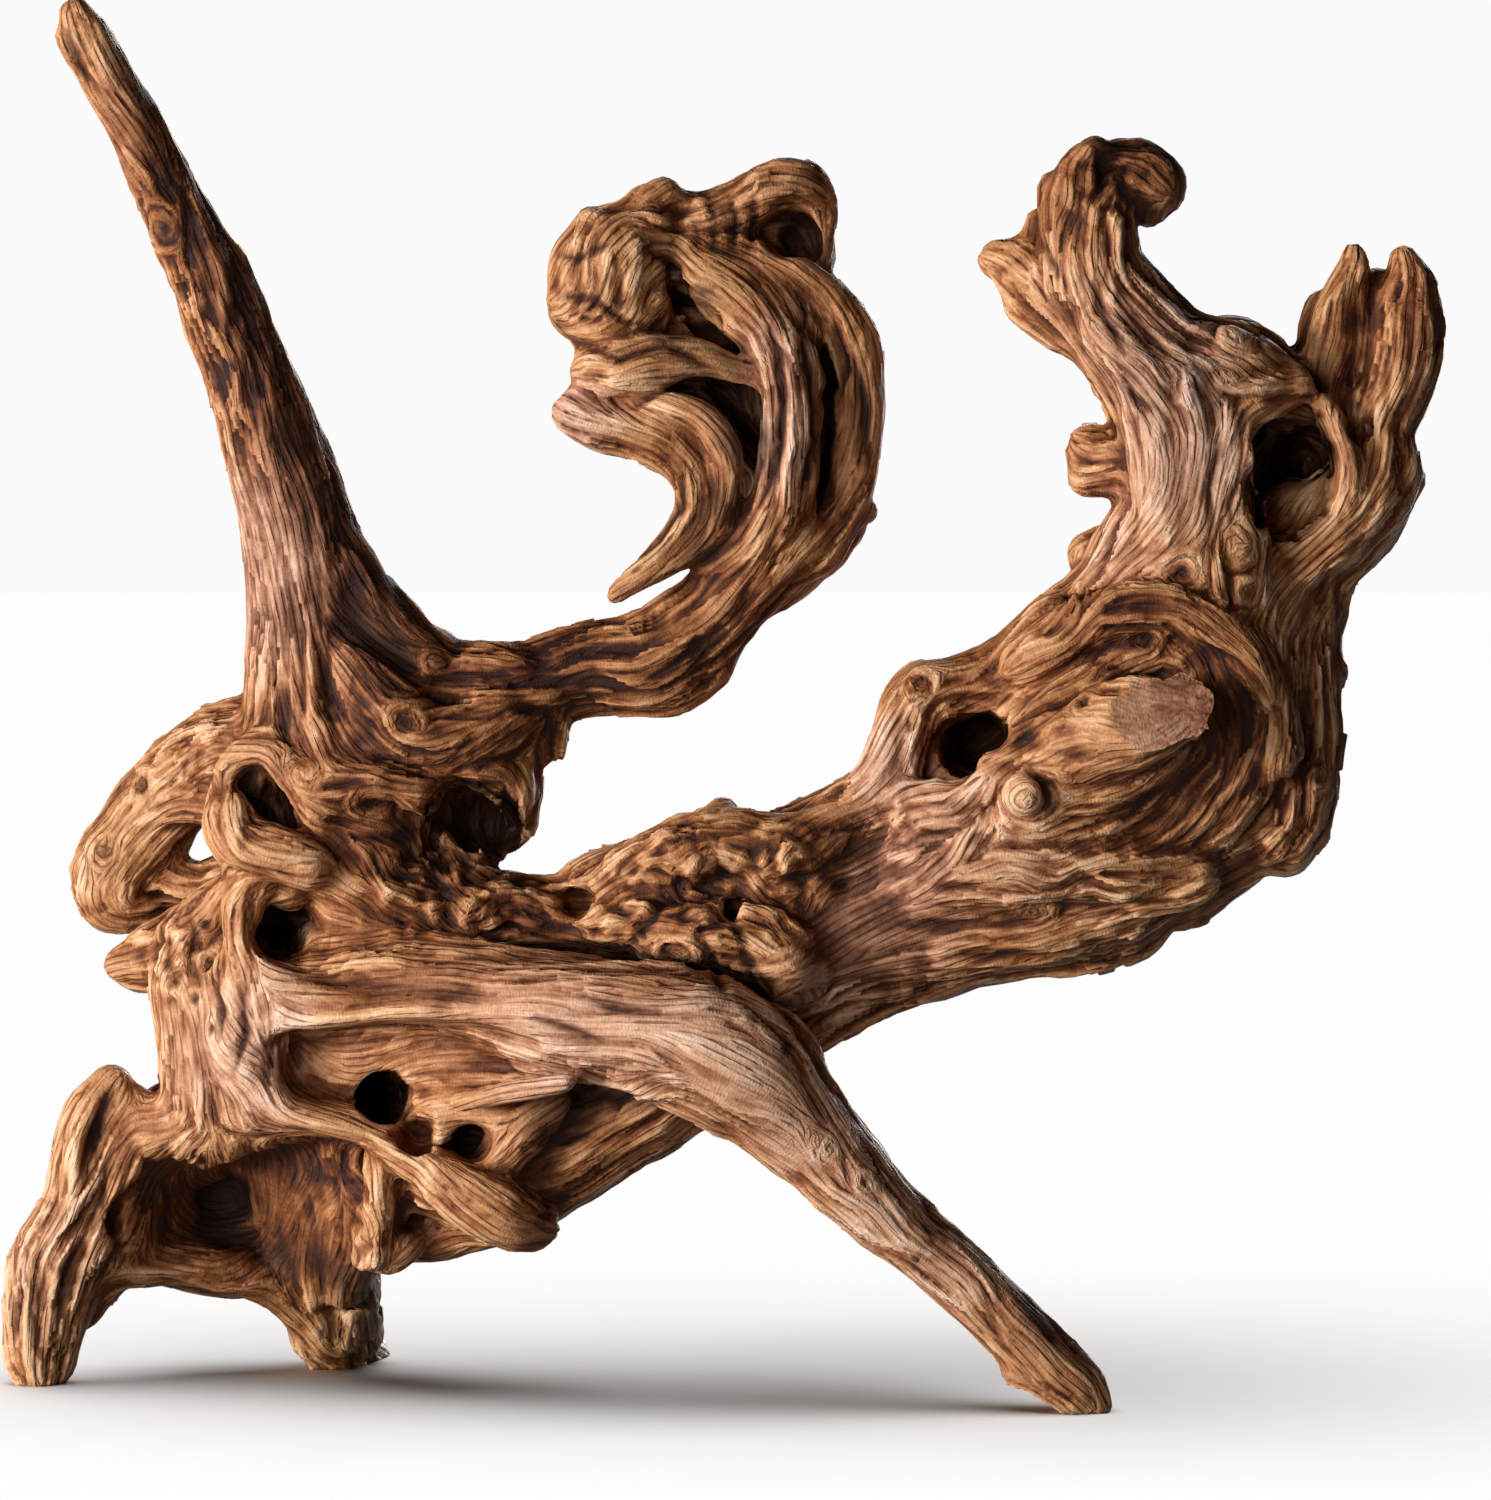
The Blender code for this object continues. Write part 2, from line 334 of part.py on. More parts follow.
def end_balls(name, points, skin):
    """Round caps for a strand's two ends."""
    balls = []
    for across, up, depth, radius in (points[0], points[-1]):
        centre, growth = place(across, up, depth)
        ball = bmesh.new()
        size = (radius + skin) * growth * MM
        bmesh.ops.create_icosphere(ball, subdivisions=2, radius=size, matrix=Matrix.Translation(centre * MM))
        mesh = bpy.data.meshes.new(name)
        ball.to_mesh(mesh)
        ball.free()
        balls.append(mesh)
    return balls


def bundle(name, strands, collection, voxel, skin):
    """All strands of a dictionary fused into one closed skin."""
    joined = bmesh.new()
    for label, points in strands.items():
        for mesh in [strand(label, points, collection, skin), *end_balls(label, points, skin)]:
            joined.from_mesh(mesh)
            bpy.data.meshes.remove(mesh)
    bmesh.ops.remove_doubles(joined, verts=joined.verts, dist=1e-6)
    mesh = bpy.data.meshes.new(name)
    joined.to_mesh(mesh)
    joined.free()
    obj = link(name, mesh, collection)
    fuse = obj.modifiers.new("fuse", "REMESH")
    fuse.mode = "VOXEL"
    fuse.voxel_size = voxel * MM
    return obj


def smooth(obj, factor, times):
    modifier = obj.modifiers.new("smooth", "SMOOTH")
    modifier.factor = factor
    modifier.iterations = times


def cut(obj, cutter, name):
    cutter.hide_render = True
    cutter.display_type = "WIRE"
    modifier = obj.modifiers.new(name, "BOOLEAN")
    modifier.operation = "DIFFERENCE"
    modifier.object = cutter


def block(name, size, matrix, collection):
    """A box whose top face lies on the matrix's own XY plane."""
    box = bmesh.new()
    bmesh.ops.create_cube(box, size=1.0)
    mesh = bpy.data.meshes.new(name)
    box.to_mesh(mesh)
    box.free()
    mesh.transform(Matrix.Translation((0, 0, -0.5)))
    mesh.transform(Matrix.Diagonal((*size, 1)))
    mesh.transform(matrix)
    return link(name, mesh, collection)


def ground_block(collection):
    """Everything below the ground."""
    return block("ground_block", (0.8, 0.5, GROUND_DEPTH * MM), Matrix.Identity(4), collection)


def saw_block(collection):
    """Everything in front of the stub's sawn face."""
    centre, _ = place(*SAWN_FACE)
    turn = (-Vector(SAWN_SLOPE)).to_track_quat("Z", "Y").to_matrix().to_4x4()
    return block("saw_block", (0.044, 0.034, 0.02), Matrix.Translation(centre * MM) @ turn, collection)


def wood():
    material = bpy.data.materials.new("driftwood")
    material.use_nodes = True
    shader = material.node_tree.nodes["Principled BSDF"]
    shader.inputs["Base Color"].default_value = (0.30, 0.165, 0.095, 1)
    shader.inputs["Roughness"].default_value = 0.62
    shader.inputs["Metallic"].default_value = 0.0
    return material


def build():
    for obj in list(bpy.data.objects):
        bpy.data.objects.remove(obj)
    parts = bpy.data.collections.new("driftwood")
    cutters = bpy.data.collections.new("cutters")
    for collection in (parts, cutters):
        bpy.context.scene.collection.children.link(collection)

    grown = {name: points for group in GROWN for name, points in group.items()}
    root = bundle("driftwood", grown, parts, GROWN_VOXEL, SKIN)
    smooth(root, 0.5, 4)
    hollows = bundle("hollows", CARVED, cutters, CARVED_VOXEL, 0.0)
    cut(root, hollows, "hollow_out")
    settle = root.modifiers.new("settle", "REMESH")
    settle.mode = "VOXEL"
    settle.voxel_size = GROWN_VOXEL * MM
    smooth(root, 0.5, 3)
    skin = bpy.data.meshes.new_from_object(root.evaluated_get(bpy.context.evaluated_depsgraph_get()))
    skin.calc_loop_triangles()
    thin = root.modifiers.new("thin_out", "DECIMATE")
    thin.ratio = TRIANGLES / len(skin.loop_triangles)
    bpy.data.meshes.remove(skin)
    cut(root, ground_block(cutters), "level_feet")
    cut(root, saw_block(cutters), "saw_stub")
    root.data.materials.append(wood())
    return root


build()
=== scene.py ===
"""The looks of the aquarium driftwood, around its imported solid.

The root is grown again from the solid's own strands, with a finer skin. Its grain follows the strands
and parts round the knots. Ridges, creases, warts and knots stand in the mesh, and the finest grain is
in the material.

Strands, strokes, knots and cracks are laid out in millimetres on a front elevation, as the root is
seen from VIEW_DISTANCE away: across to the right, up from the ground, and depth away from the viewer.
"""

import math

import bmesh
import bpy
import numpy as np
from mathutils import Matrix, Vector
from mathutils.bvhtree import BVHTree
from mathutils.kdtree import KDTree


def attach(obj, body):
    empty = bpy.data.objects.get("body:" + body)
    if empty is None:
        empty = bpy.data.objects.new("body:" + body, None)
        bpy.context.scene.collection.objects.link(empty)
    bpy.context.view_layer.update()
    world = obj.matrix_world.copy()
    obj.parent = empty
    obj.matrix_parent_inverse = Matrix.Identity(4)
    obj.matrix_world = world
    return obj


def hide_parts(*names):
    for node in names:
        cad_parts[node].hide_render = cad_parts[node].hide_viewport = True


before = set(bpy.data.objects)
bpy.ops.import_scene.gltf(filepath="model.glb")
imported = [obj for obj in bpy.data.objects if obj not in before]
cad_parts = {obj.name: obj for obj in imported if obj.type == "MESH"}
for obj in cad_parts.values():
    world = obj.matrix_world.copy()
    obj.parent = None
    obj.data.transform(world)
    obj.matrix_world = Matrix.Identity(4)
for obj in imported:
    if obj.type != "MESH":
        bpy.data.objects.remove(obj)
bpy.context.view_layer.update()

MM = 0.001

# Where the elevation is seen from, and the footprint's middle on it, in millimetres.
VIEW_DISTANCE = 1800.0
VIEW_HEIGHT = 195.6
VIEW_TILT = math.radians(2.5)
MIDDLE = (-7.8, 24.0)

# The skin: how much thicker it is than the strands and its cells, both in millimetres, how often the
# melted zones are averaged, and the two blocks that trim it, in metres.
SKIN = 0.7
VOXEL = 1.3
TRIANGLES = 197000
MELT_ROUNDS = 110
GROUND_BLOCK = (0.8, 0.5, 0.06)
SAW_BLOCK = (0.044, 0.034, 0.02)

# The grain: the spacing of its lines and of a knot's rings in millimetres, and what turns it.
WIDE_LINES = 4.4
FINE_LINES = 2.4
LINE_ROUNDS = 90
RIPPLE = 3.0
STROKE_WEIGHT = 6
RING_WEIGHT = 24
KNOT_SPACING = 26
WARTY_TURN = 1.5

# Noise is (strength, size, seed).
GRAIN_TURNS = [(0.30, 16, 21), (0.20, 7, 22)]
WILD_TURNS = [(0.9, 13, 23), (0.5, 7, 24)]
SWELLS = [(0.8, 17, 1), (0.45, 8, 2)]
WILD_BUMPS = [(0.6, 6, 41), (0.3, 3.5, 42)]

# Streaks are (height, width, length), and warts (height, size, seed).
STREAKS = [(0.50, 9, 160), (0.30, 3, 110)]
WARTS = [(1.9, 8, 5), (1.3, 4.5, 9)]
WART_MIDDLE = 0.4
PIT_HEIGHT = 0.22
FURROW_DEPTH = 0.32
RIPPLE_HEIGHT = 0.10
HEIGHT_SPAN = 1.6
BEND_SPAN = 0.5

# How much sky each point sees, and the numbers that scramble the noise.
SKY_RAYS = 14
SKY_REACH = 45.0
HASH_STEPS = (73856093, 19349663, 83492791)
HASH_SEED = 26544357
HASH_MIXES = (1274126177, 668265263)

SAWN_FACE = (128, 205, -43)
SAWN_SLOPE = (0.10, -0.97, 0.20)


# Each strand's points are (across, up, depth, radius).
SPIKE = {
    "spike": [
        (-201, 416.5, -27, 4.8), (-198.8, 411, -26, 7.0), (-192.5, 400, -24, 7.4), (-182, 380, -20, 8.0),
        (-172.5, 360, -16, 9.2), (-162.5, 340, -12, 10.6), (-154, 320, -8, 12), (-146, 300, -4, 13.6),
        (-139.5, 280, 0, 15.2), (-134, 260, 3, 17.2), (-130, 240, 6, 19.5), (-128, 220, 8, 21.5),
        (-125, 196, 9, 23),
    ],
    "spike_left_root": [(-146, 262, 4, 5), (-141, 238, 2, 8), (-139, 214, 0, 11), (-140, 192, 2, 12)],
    "spike_right_root": [(-126, 268, 0, 5), (-119, 250, -2, 9), (-109, 234, 0, 10), (-98, 221, 0, 11)],
    "spike_bud_high": [(-110, 234, 2, 7), (-103, 235, 3, 6)],
    "spike_bud_low": [(-102, 227, 2, 8), (-93, 226, 2, 6)],
    "spike_lip": [(-200, 405, -28, 4.5), (-203.6, 409.5, -28, 3.2)],
}

CROWN = {
    "crown_core": [(-128, 212, 8, 20), (-120, 190, 8, 25), (-115, 168, 6, 21), (-112, 150, 2, 16)],
    "crown_right": [(-112, 196, 8, 24), (-92, 192, 8, 23), (-80, 184, 6, 20), (-79, 178, 6, 16)],
    "crown_shoulder": [
        (-105, 212, 4, 13), (-88, 216, 2, 10.6), (-76, 218, 0, 9.6), (-64, 212, 0, 11), (-62, 200, 2, 9),
    ],
    "crown_fan": [(-118, 222, -6, 9), (-104, 206, -12, 9), (-92, 200, -12, 9), (-74, 204, -8, 10)],
    "crown_ridge_low": [(-126, 186, -14, 7), (-108, 186, -17, 5), (-96, 182, -16, 5), (-86, 174, -12, 5)],
    "saddle": [
        (-116, 156, 2, 17), (-98, 152, 2, 14), (-80, 147.4, 3, 12.6), (-64, 145.8, 5, 11.4),
        (-48, 144.5, 7, 11), (-30, 149, 9, 16.5),
    ],
    "saddle_low": [(-112, 138, 12, 12), (-84, 136, 10, 11), (-54, 134, 10, 11), (-22, 130, 10, 14)],
    "crown_lip": [
        (-157, 185, -6, 3.4), (-152.5, 193, -9, 4.2), (-144, 196, -11, 4.6), (-137, 190, -13, 5),
        (-128, 178, -14, 5.4),
    ],
    "knuckle": [(-154, 176, -10, 6.8), (-151, 169, -12, 7.6), (-142, 166, -14, 7.4), (-131, 161, -14, 7)],
    "knuckle_root": [(-156, 184, -4, 4.4), (-155, 172, -6, 7.4), (-148, 162, -4, 7.4)],
    "crown_right_back": [(-92, 200, 22, 16), (-78, 188, 22, 12), (-76, 174, 20, 9)],
    "crown_back": [(-146, 192, 24, 12), (-144, 172, 28, 13), (-140, 152, 30, 15), (-124, 138, 26, 14)],
}

LOOP = {
    "loop": [
        (-138, 196, 10, 15), (-152, 196.5, 12, 14), (-163.5, 190.5, 15, 13.4), (-174, 181.5, 19, 12.8),
        (-182, 169, 24, 13.4), (-187.4, 157.5, 28, 14.8), (-180, 152.5, 31, 11.6), (-166, 150, 33, 10.4),
        (-150, 151, 32, 11), (-138, 156, 24, 12),
    ],
    "loop_fold": [(-178, 175, 12, 4.6), (-172, 180, 9, 5.4), (-164, 180, 8, 6), (-157, 179, 6, 6)],
    "loop_floor": [(-172, 158, 22, 6), (-164, 155, 22, 6.4), (-156, 158, 20, 6)],
    "loop_sole": [(-192, 150, 26, 8), (-186, 147, 27, 6)],
}

RIDGE = {
    "ridge_tip": [
        (-187, 131, 20, 5.2), (-179, 135, 16, 7), (-168, 141, 10, 8.4), (-157, 149, 3, 8.2),
        (-148, 156, -5, 6.6),
    ],
    "ridge_rim": [
        (-142, 160, -8, 5), (-149.5, 152, -9, 5.4), (-151, 142, -10, 5.6), (-147.5, 132, -12, 6),
        (-139, 125, -15, 6), (-128, 120, -18, 5.4),
    ],
    "ridge_spur": [(-178, 127, 20, 4.4), (-184, 128, 20, 4.4), (-187, 131, 20, 4)],
    "cheek_left": [
        (-166, 134, 10, 11), (-166, 120, 10, 11.6), (-162.6, 106, 10, 13.2), (-158, 90, 12, 15.5),
        (-152, 74, 20, 12),
    ],
    "cheek_mid": [(-152, 128, 0, 11), (-150, 112, 2, 14), (-146, 96, 6, 15), (-142, 84, 12, 14)],
    "ridge_ball": [(-137, 156, -2, 5), (-137, 152, -6, 4.8)],
}

FRONT_BAR = {
    "bar": [
        (-140, 130, 4, 12), (-122, 129, -4, 13), (-100, 127, -14, 12), (-78, 122, -22, 13.8),
        (-56, 117, -29, 16), (-34, 114, -33, 17.4), (-14, 109, -35, 19.8), (0, 100, -35, 19.2),
        (12, 87, -34, 15.8), (25.2, 73.8, -33, 13.2), (41, 57.2, -32, 11.6), (51.6, 48.6, -31, 10.4),
        (62.6, 39, -30, 9.6), (72.6, 29.9, -29, 9.3), (82.4, 20.6, -28, 9.6), (93, 10, -27, 9.4),
        (100.5, 3.4, -26.5, 8.4), (103.5, 0, -26, 6.2),
    ],
    "bar_top_flute": [
        (-118, 134, -8, 7), (-90, 134, -16, 6), (-60, 129, -26, 6), (-32, 126, -32, 6),
        (-12, 122, -34, 6),
    ],
    "bar_rim_flute": [
        (-130, 120, -18, 5), (-112, 117, -22, 4.4), (-90, 116, -27, 4.4), (-70, 113, -32, 5),
    ],
    "bar_under_flute": [(-66, 106, -24, 7), (-44, 103, -32, 7), (-24, 97, -36, 8), (-6, 88, -36, 8)],
    "elbow": [(-14, 114, -34, 10), (4, 110, -30, 11), (11, 104, -28, 11), (14, 94, -28, 10)],
    "tip_spur": [(82, 10, -28, 5), (79.5, 8.5, -28, 2.4)],
}

TRUNK = {
    "trunk_low": [
        (-67, 62.6, 0, 12), (-55.4, 74, 2, 16.2), (-35, 91.6, 6, 21), (-8, 112, 10, 23.5),
        (24, 134, 12, 25), (58, 148, 12, 25.5), (92, 160, 12, 30), (120, 177, 14, 33), (136, 202, 13, 36),
        (142, 226, 11, 33), (150, 246, 9, 25), (163, 260, 10, 17),
    ],
    "trunk_high": [
        (-40, 149, 8, 17), (-16, 151, 10, 23), (8, 153, 12, 24), (34, 164, 14, 22.5), (56, 178, 18, 22),
        (82, 196, 16, 29), (104, 214, 12, 31), (122, 234, 8, 29), (130, 254, 4, 24),
    ],
    "trunk_back": [
        (-20, 124, 26, 19), (30, 148, 30, 22), (80, 172, 30, 28), (120, 204, 28, 32), (140, 240, 24, 24),
    ],
    "trunk_right_rib": [
        (132, 153, 8, 10), (150, 169, 6, 12.4), (161.6, 177, 4, 14.2), (165.5, 196, 4, 12),
        (165, 214, 4, 13), (167, 233, 6, 12), (173.5, 249, 10, 10), (186, 266, 12, 11),
    ],
    "rib_spur_low": [(170, 208, 4, 6), (174, 210, 4, 4)],
    "rib_spur_high": [(170, 220, 4, 7), (177, 219, 4, 4)],
    "rib_corner": [(160, 170, 2, 11), (168, 172, 4, 8)],
    "trunk_belly": [
        (60, 140, -2, 12), (88, 145, -4, 14), (114, 152, -2, 13.5), (142, 168, 0, 9.4), (160, 172, 2, 10),
    ],
    "trunk_sole": [(82, 141.4, 8, 12), (99, 140.4, 8, 12), (114, 144.6, 8, 12)],
    "trunk_front_swell": [(58, 160, -8, 16), (84, 164, -12, 18), (106, 162, -10, 15)],
    "hole_arch": [
        (27, 173, 2, 10), (39, 183, -2, 9), (46, 197.5, -3, 8.6), (52, 211, -3, 9.6), (63, 214, 0, 9.6),
        (78, 219, 0, 10.8), (94, 231, -2, 11.6),
    ],
    "hole_lip": [
        (52, 178, -14, 8), (66, 184, -20, 6.6), (78, 194, -23, 6), (92, 207, -22, 6), (106, 214, -20, 7),
    ],
    "rough_top": [
        (-34, 158, -2, 10), (-20, 163, -6, 11), (-5, 167, -4, 11), (12, 165, -6, 12), (30, 174, -2, 9),
    ],
    "rough_front": [
        (-44, 144, -6, 7), (-26, 142, -12, 9), (-8, 140, -14, 11), (8, 136, -14, 12), (16, 128, -12, 9),
    ],
    "rough_nose": [(10, 138, -18, 8), (12, 130, -20, 8), (14, 124, -18, 6)],
    "top_bud": [(-8, 174, 4, 6), (-6.5, 177, 4, 4.4)],
}

STUB = {
    "stub": [(84, 190, -14, 14), (100, 198, -24, 15), (115, 203, -34, 14), (131, 208.5, -40, 9.5)],
    "stub_base": [(98, 182, -14, 15), (112, 190, -18, 15), (122, 198, -22, 12)],
    "knot": [(84, 183, -22, 8), (85, 182, -29, 7)],
    "collar_top": [
        (84, 222, -12, 8), (104, 235, -17, 7.5), (124, 238, -20, 7.5), (143, 230, -20, 8),
        (154, 213, -18, 9), (158, 196, -14, 9),
    ],
    "collar_low": [(100, 164, -18, 9), (118, 157, -18, 9), (134, 157, -14, 8)],
}

FORK = {
    "stem": [
        (140, 236, -2, 20), (136, 256, -4, 18), (133, 276, -4, 18), (130, 296, -2, 19.6),
        (121.5, 313, 0, 19), (111, 327, 0, 17.5), (104, 340, -2, 15.5), (104.5, 352, -4, 12.8),
        (106, 363, -4, 9.5),
    ],
    "stem_flute": [(126, 262, -14, 8), (122, 288, -14, 8), (118, 308, -14, 8), (108, 322, -12, 8)],
    "hook": [
        (104, 356, -2, 10), (109, 367, 0, 9.6), (118, 368, 0, 9.8), (122.5, 365, 0, 9),
        (121, 360, 2, 7.2),
    ],
    "hook_crest": [(97, 352, -6, 8), (97, 362, -8, 7), (101, 371, -8, 6.2), (105, 375, -6, 5)],
    "hook_left_crest": [(94, 350, -2, 5.6), (92.5, 360, -2, 5.2), (92, 364, -1, 4.4)],
    "left_spur": [(103, 330, 2, 14), (90, 336, 4, 11.4), (81.5, 341, 6, 8.6), (76.4, 343, 8, 6)],
    "left_spur_low": [(104, 322, 4, 11), (94, 325, 6, 9.4), (85, 330, 7, 7.4)],
    "left_spur_web": [(96, 342, 4, 8), (88, 346, 6, 6), (88, 354, 6, 4)],
    "left_knob_high": [(122, 283, 4, 13), (109, 283, 5, 10.4), (103.8, 285.6, 6, 7.4)],
    "left_knob_ledge": [(110, 277, 4, 6), (103.2, 278, 5, 6.4)],
    "left_knob_low": [(118, 252, 14, 12), (107, 255, 18, 9), (103, 255, 19, 6)],
    "bridge": [
        (134, 302, 4, 17), (146, 310.4, 6, 15.5), (158, 306, 10, 11.4), (170, 302, 14, 11),
        (180, 296, 14, 10),
    ],
    "pocket_back": [
        (150, 262, 22, 15), (154, 282, 30, 15), (168, 296, 30, 15), (182, 282, 26, 14),
        (178, 264, 20, 14),
    ],
    "pocket_sill": [(152, 253, -4, 9), (166, 252, -4, 8), (176, 258, -4, 8)],
    "right_wall": [
        (174, 261, 4, 15), (188.5, 277, 6, 13.4), (188.8, 292, 8, 11.2), (194.6, 308, 8, 12),
        (198.6, 324, 8, 11.6), (199, 336, 8, 8), (197.5, 342.5, 8, 4.4),
    ],
    "right_back": [(178, 300, 18, 10), (184, 316, 20, 10), (188, 330, 18, 9), (189, 334, 16, 6)],
    "right_left_wall": [
        (176, 300, 8, 8), (176, 314, 8, 9), (179, 328, 8, 8.2), (182.5, 340, 8, 5.4),
        (182.5, 344.5, 8, 3.2),
    ],
    "right_flap": [(174, 312, 14, 7), (171.6, 322, 15, 5.6), (172.6, 329, 16, 4.2)],
    "pocket_rim": [
        (174, 299, -4, 3.8), (178, 290, -6, 3.8), (180, 280, -7, 4), (178, 268, -6, 5), (168, 258, -6, 6),
    ],
    "elbow_knob": [(188, 273, 6, 11), (196.5, 276, 6, 7.6), (199, 277, 6, 5)],
}

CURL = {
    "curl_stem": [
        (-90, 206, 6, 14), (-66, 213.4, 6, 14), (-46, 219.8, 5, 13.8), (-28, 222.3, 4, 15.6),
        (-14, 232, 3, 13.6), (1, 247.5, 2, 11.4), (15, 260, 2, 12.2),
    ],
    "curl_stem_under": [(-38, 216, 4, 8), (-22, 214, 2, 8), (-10, 221, 2, 7), (-6, 225, 2, 4.4)],
    "curl_stem_low": [(0, 240, 8, 7), (13, 248, 10, 8), (22, 259, 10, 9)],
    "flute_inner": [
        (-10, 250, -3, 6.4), (1, 257, -5, 8.6), (9.5, 268, -7, 9.4), (13, 285, -8, 9),
        (13.5, 302, -8, 8.4), (9.5, 317, -7, 9), (1, 328, -6, 10), (-8, 336, -5, 10), (-16, 344, -2, 9.4),
    ],
    "flute_top": [(16, 312, -5, 6), (13, 326, -4, 8), (5, 336, -3, 9), (-4, 343, -2, 9)],
    "flute_outer": [
        (21, 256, 2, 8), (30, 270, 0, 6.6), (33.5, 286, -1, 7), (34.2, 304, -1, 7), (31.5, 320, -2, 7.4),
        (25, 331, -4, 6.6), (15, 339, -7, 5), (6, 345, -9, 3.8),
    ],
    "flute_back": [
        (26, 264, 12, 9), (29, 284, 14, 10.6), (29.5, 304, 14, 11), (26, 320, 14, 11), (16, 334, 12, 10),
    ],
    "splinter": [(22, 306, -9, 2.6), (18.5, 313, -10, 3), (16, 319, -10, 2)],
    "outer_knob": [(28, 271, 4, 6.6), (33, 267.5, 5, 5.4), (36.2, 267, 5, 3.6)],
    "curl_backing": [
        (4, 262, 16, 10), (4, 290, 20, 12), (-2, 315, 20, 13), (-16, 332, 18, 13), (-32, 340, 12, 14),
    ],
    "crest": [
        (-24, 354, 4, 9.4), (-10, 354.5, 2, 8.2), (0, 359, 0, 7.4), (8, 364.5, -2, 7.4),
        (16, 365, 0, 7.6), (21, 359, 4, 6.2), (21, 347, 8, 5.4),
    ],
    "crest_back": [(-6, 348, 12, 9), (10, 351, 14, 9.4), (19, 345, 14, 8)],
    "fringe": [(-12, 356, -4, 4.6), (-9, 348, -7, 4), (-5, 345, -8, 3)],
    "head": [(-43, 339, -2, 15.4), (-38, 342.5, -2, 18), (-30, 349, 0, 13)],
    "head_low": [(-49.5, 329, -4, 10), (-40, 326, -8, 10), (-30, 328, -8, 7)],
    "head_bud": [(-29, 357, -2, 7.6), (-24.5, 361.5, -2, 5.4)],
    "brow": [
        (-45.5, 308, -10, 7), (-38, 310, -13, 8.6), (-26, 312.5, -14, 7.6), (-14, 313.5, -13, 5.2),
        (-3, 309.5, -10, 3.4), (5, 306.5, -6, 2.4),
    ],
    "brow_back": [(-42, 314, 0, 9), (-26, 318, 4, 10), (-10, 318, 8, 9)],
    "claw_outer": [
        (-51.5, 297, -10, 6.2), (-44, 293.5, -12, 7.4), (-35, 291.5, -13, 7.4), (-25, 288, -13, 7.8),
        (-17, 279.5, -12, 6.4), (-16, 268, -10, 5.4), (-21, 259, -9, 4.8), (-30, 250, -10, 3.8),
        (-39, 242.2, -12, 2.6),
    ],
    "claw_inner": [
        (-33, 297, -13, 3.6), (-23, 298, -17, 4.6), (-13, 295, -18, 4.6), (-7, 286.5, -17, 5),
        (-6, 276, -13, 4.6), (-8.5, 266, -11, 4.4), (-16, 257, -10, 4.4), (-25, 250.4, -11, 3.4),
        (-34, 245, -12, 2.6), (-39.4, 241.2, -12, 2.0),
    ],
    "claw_back": [(-44, 298, 0, 6), (-28, 300, 6, 8), (-12, 298, 10, 8), (0, 286, 12, 8)],
}

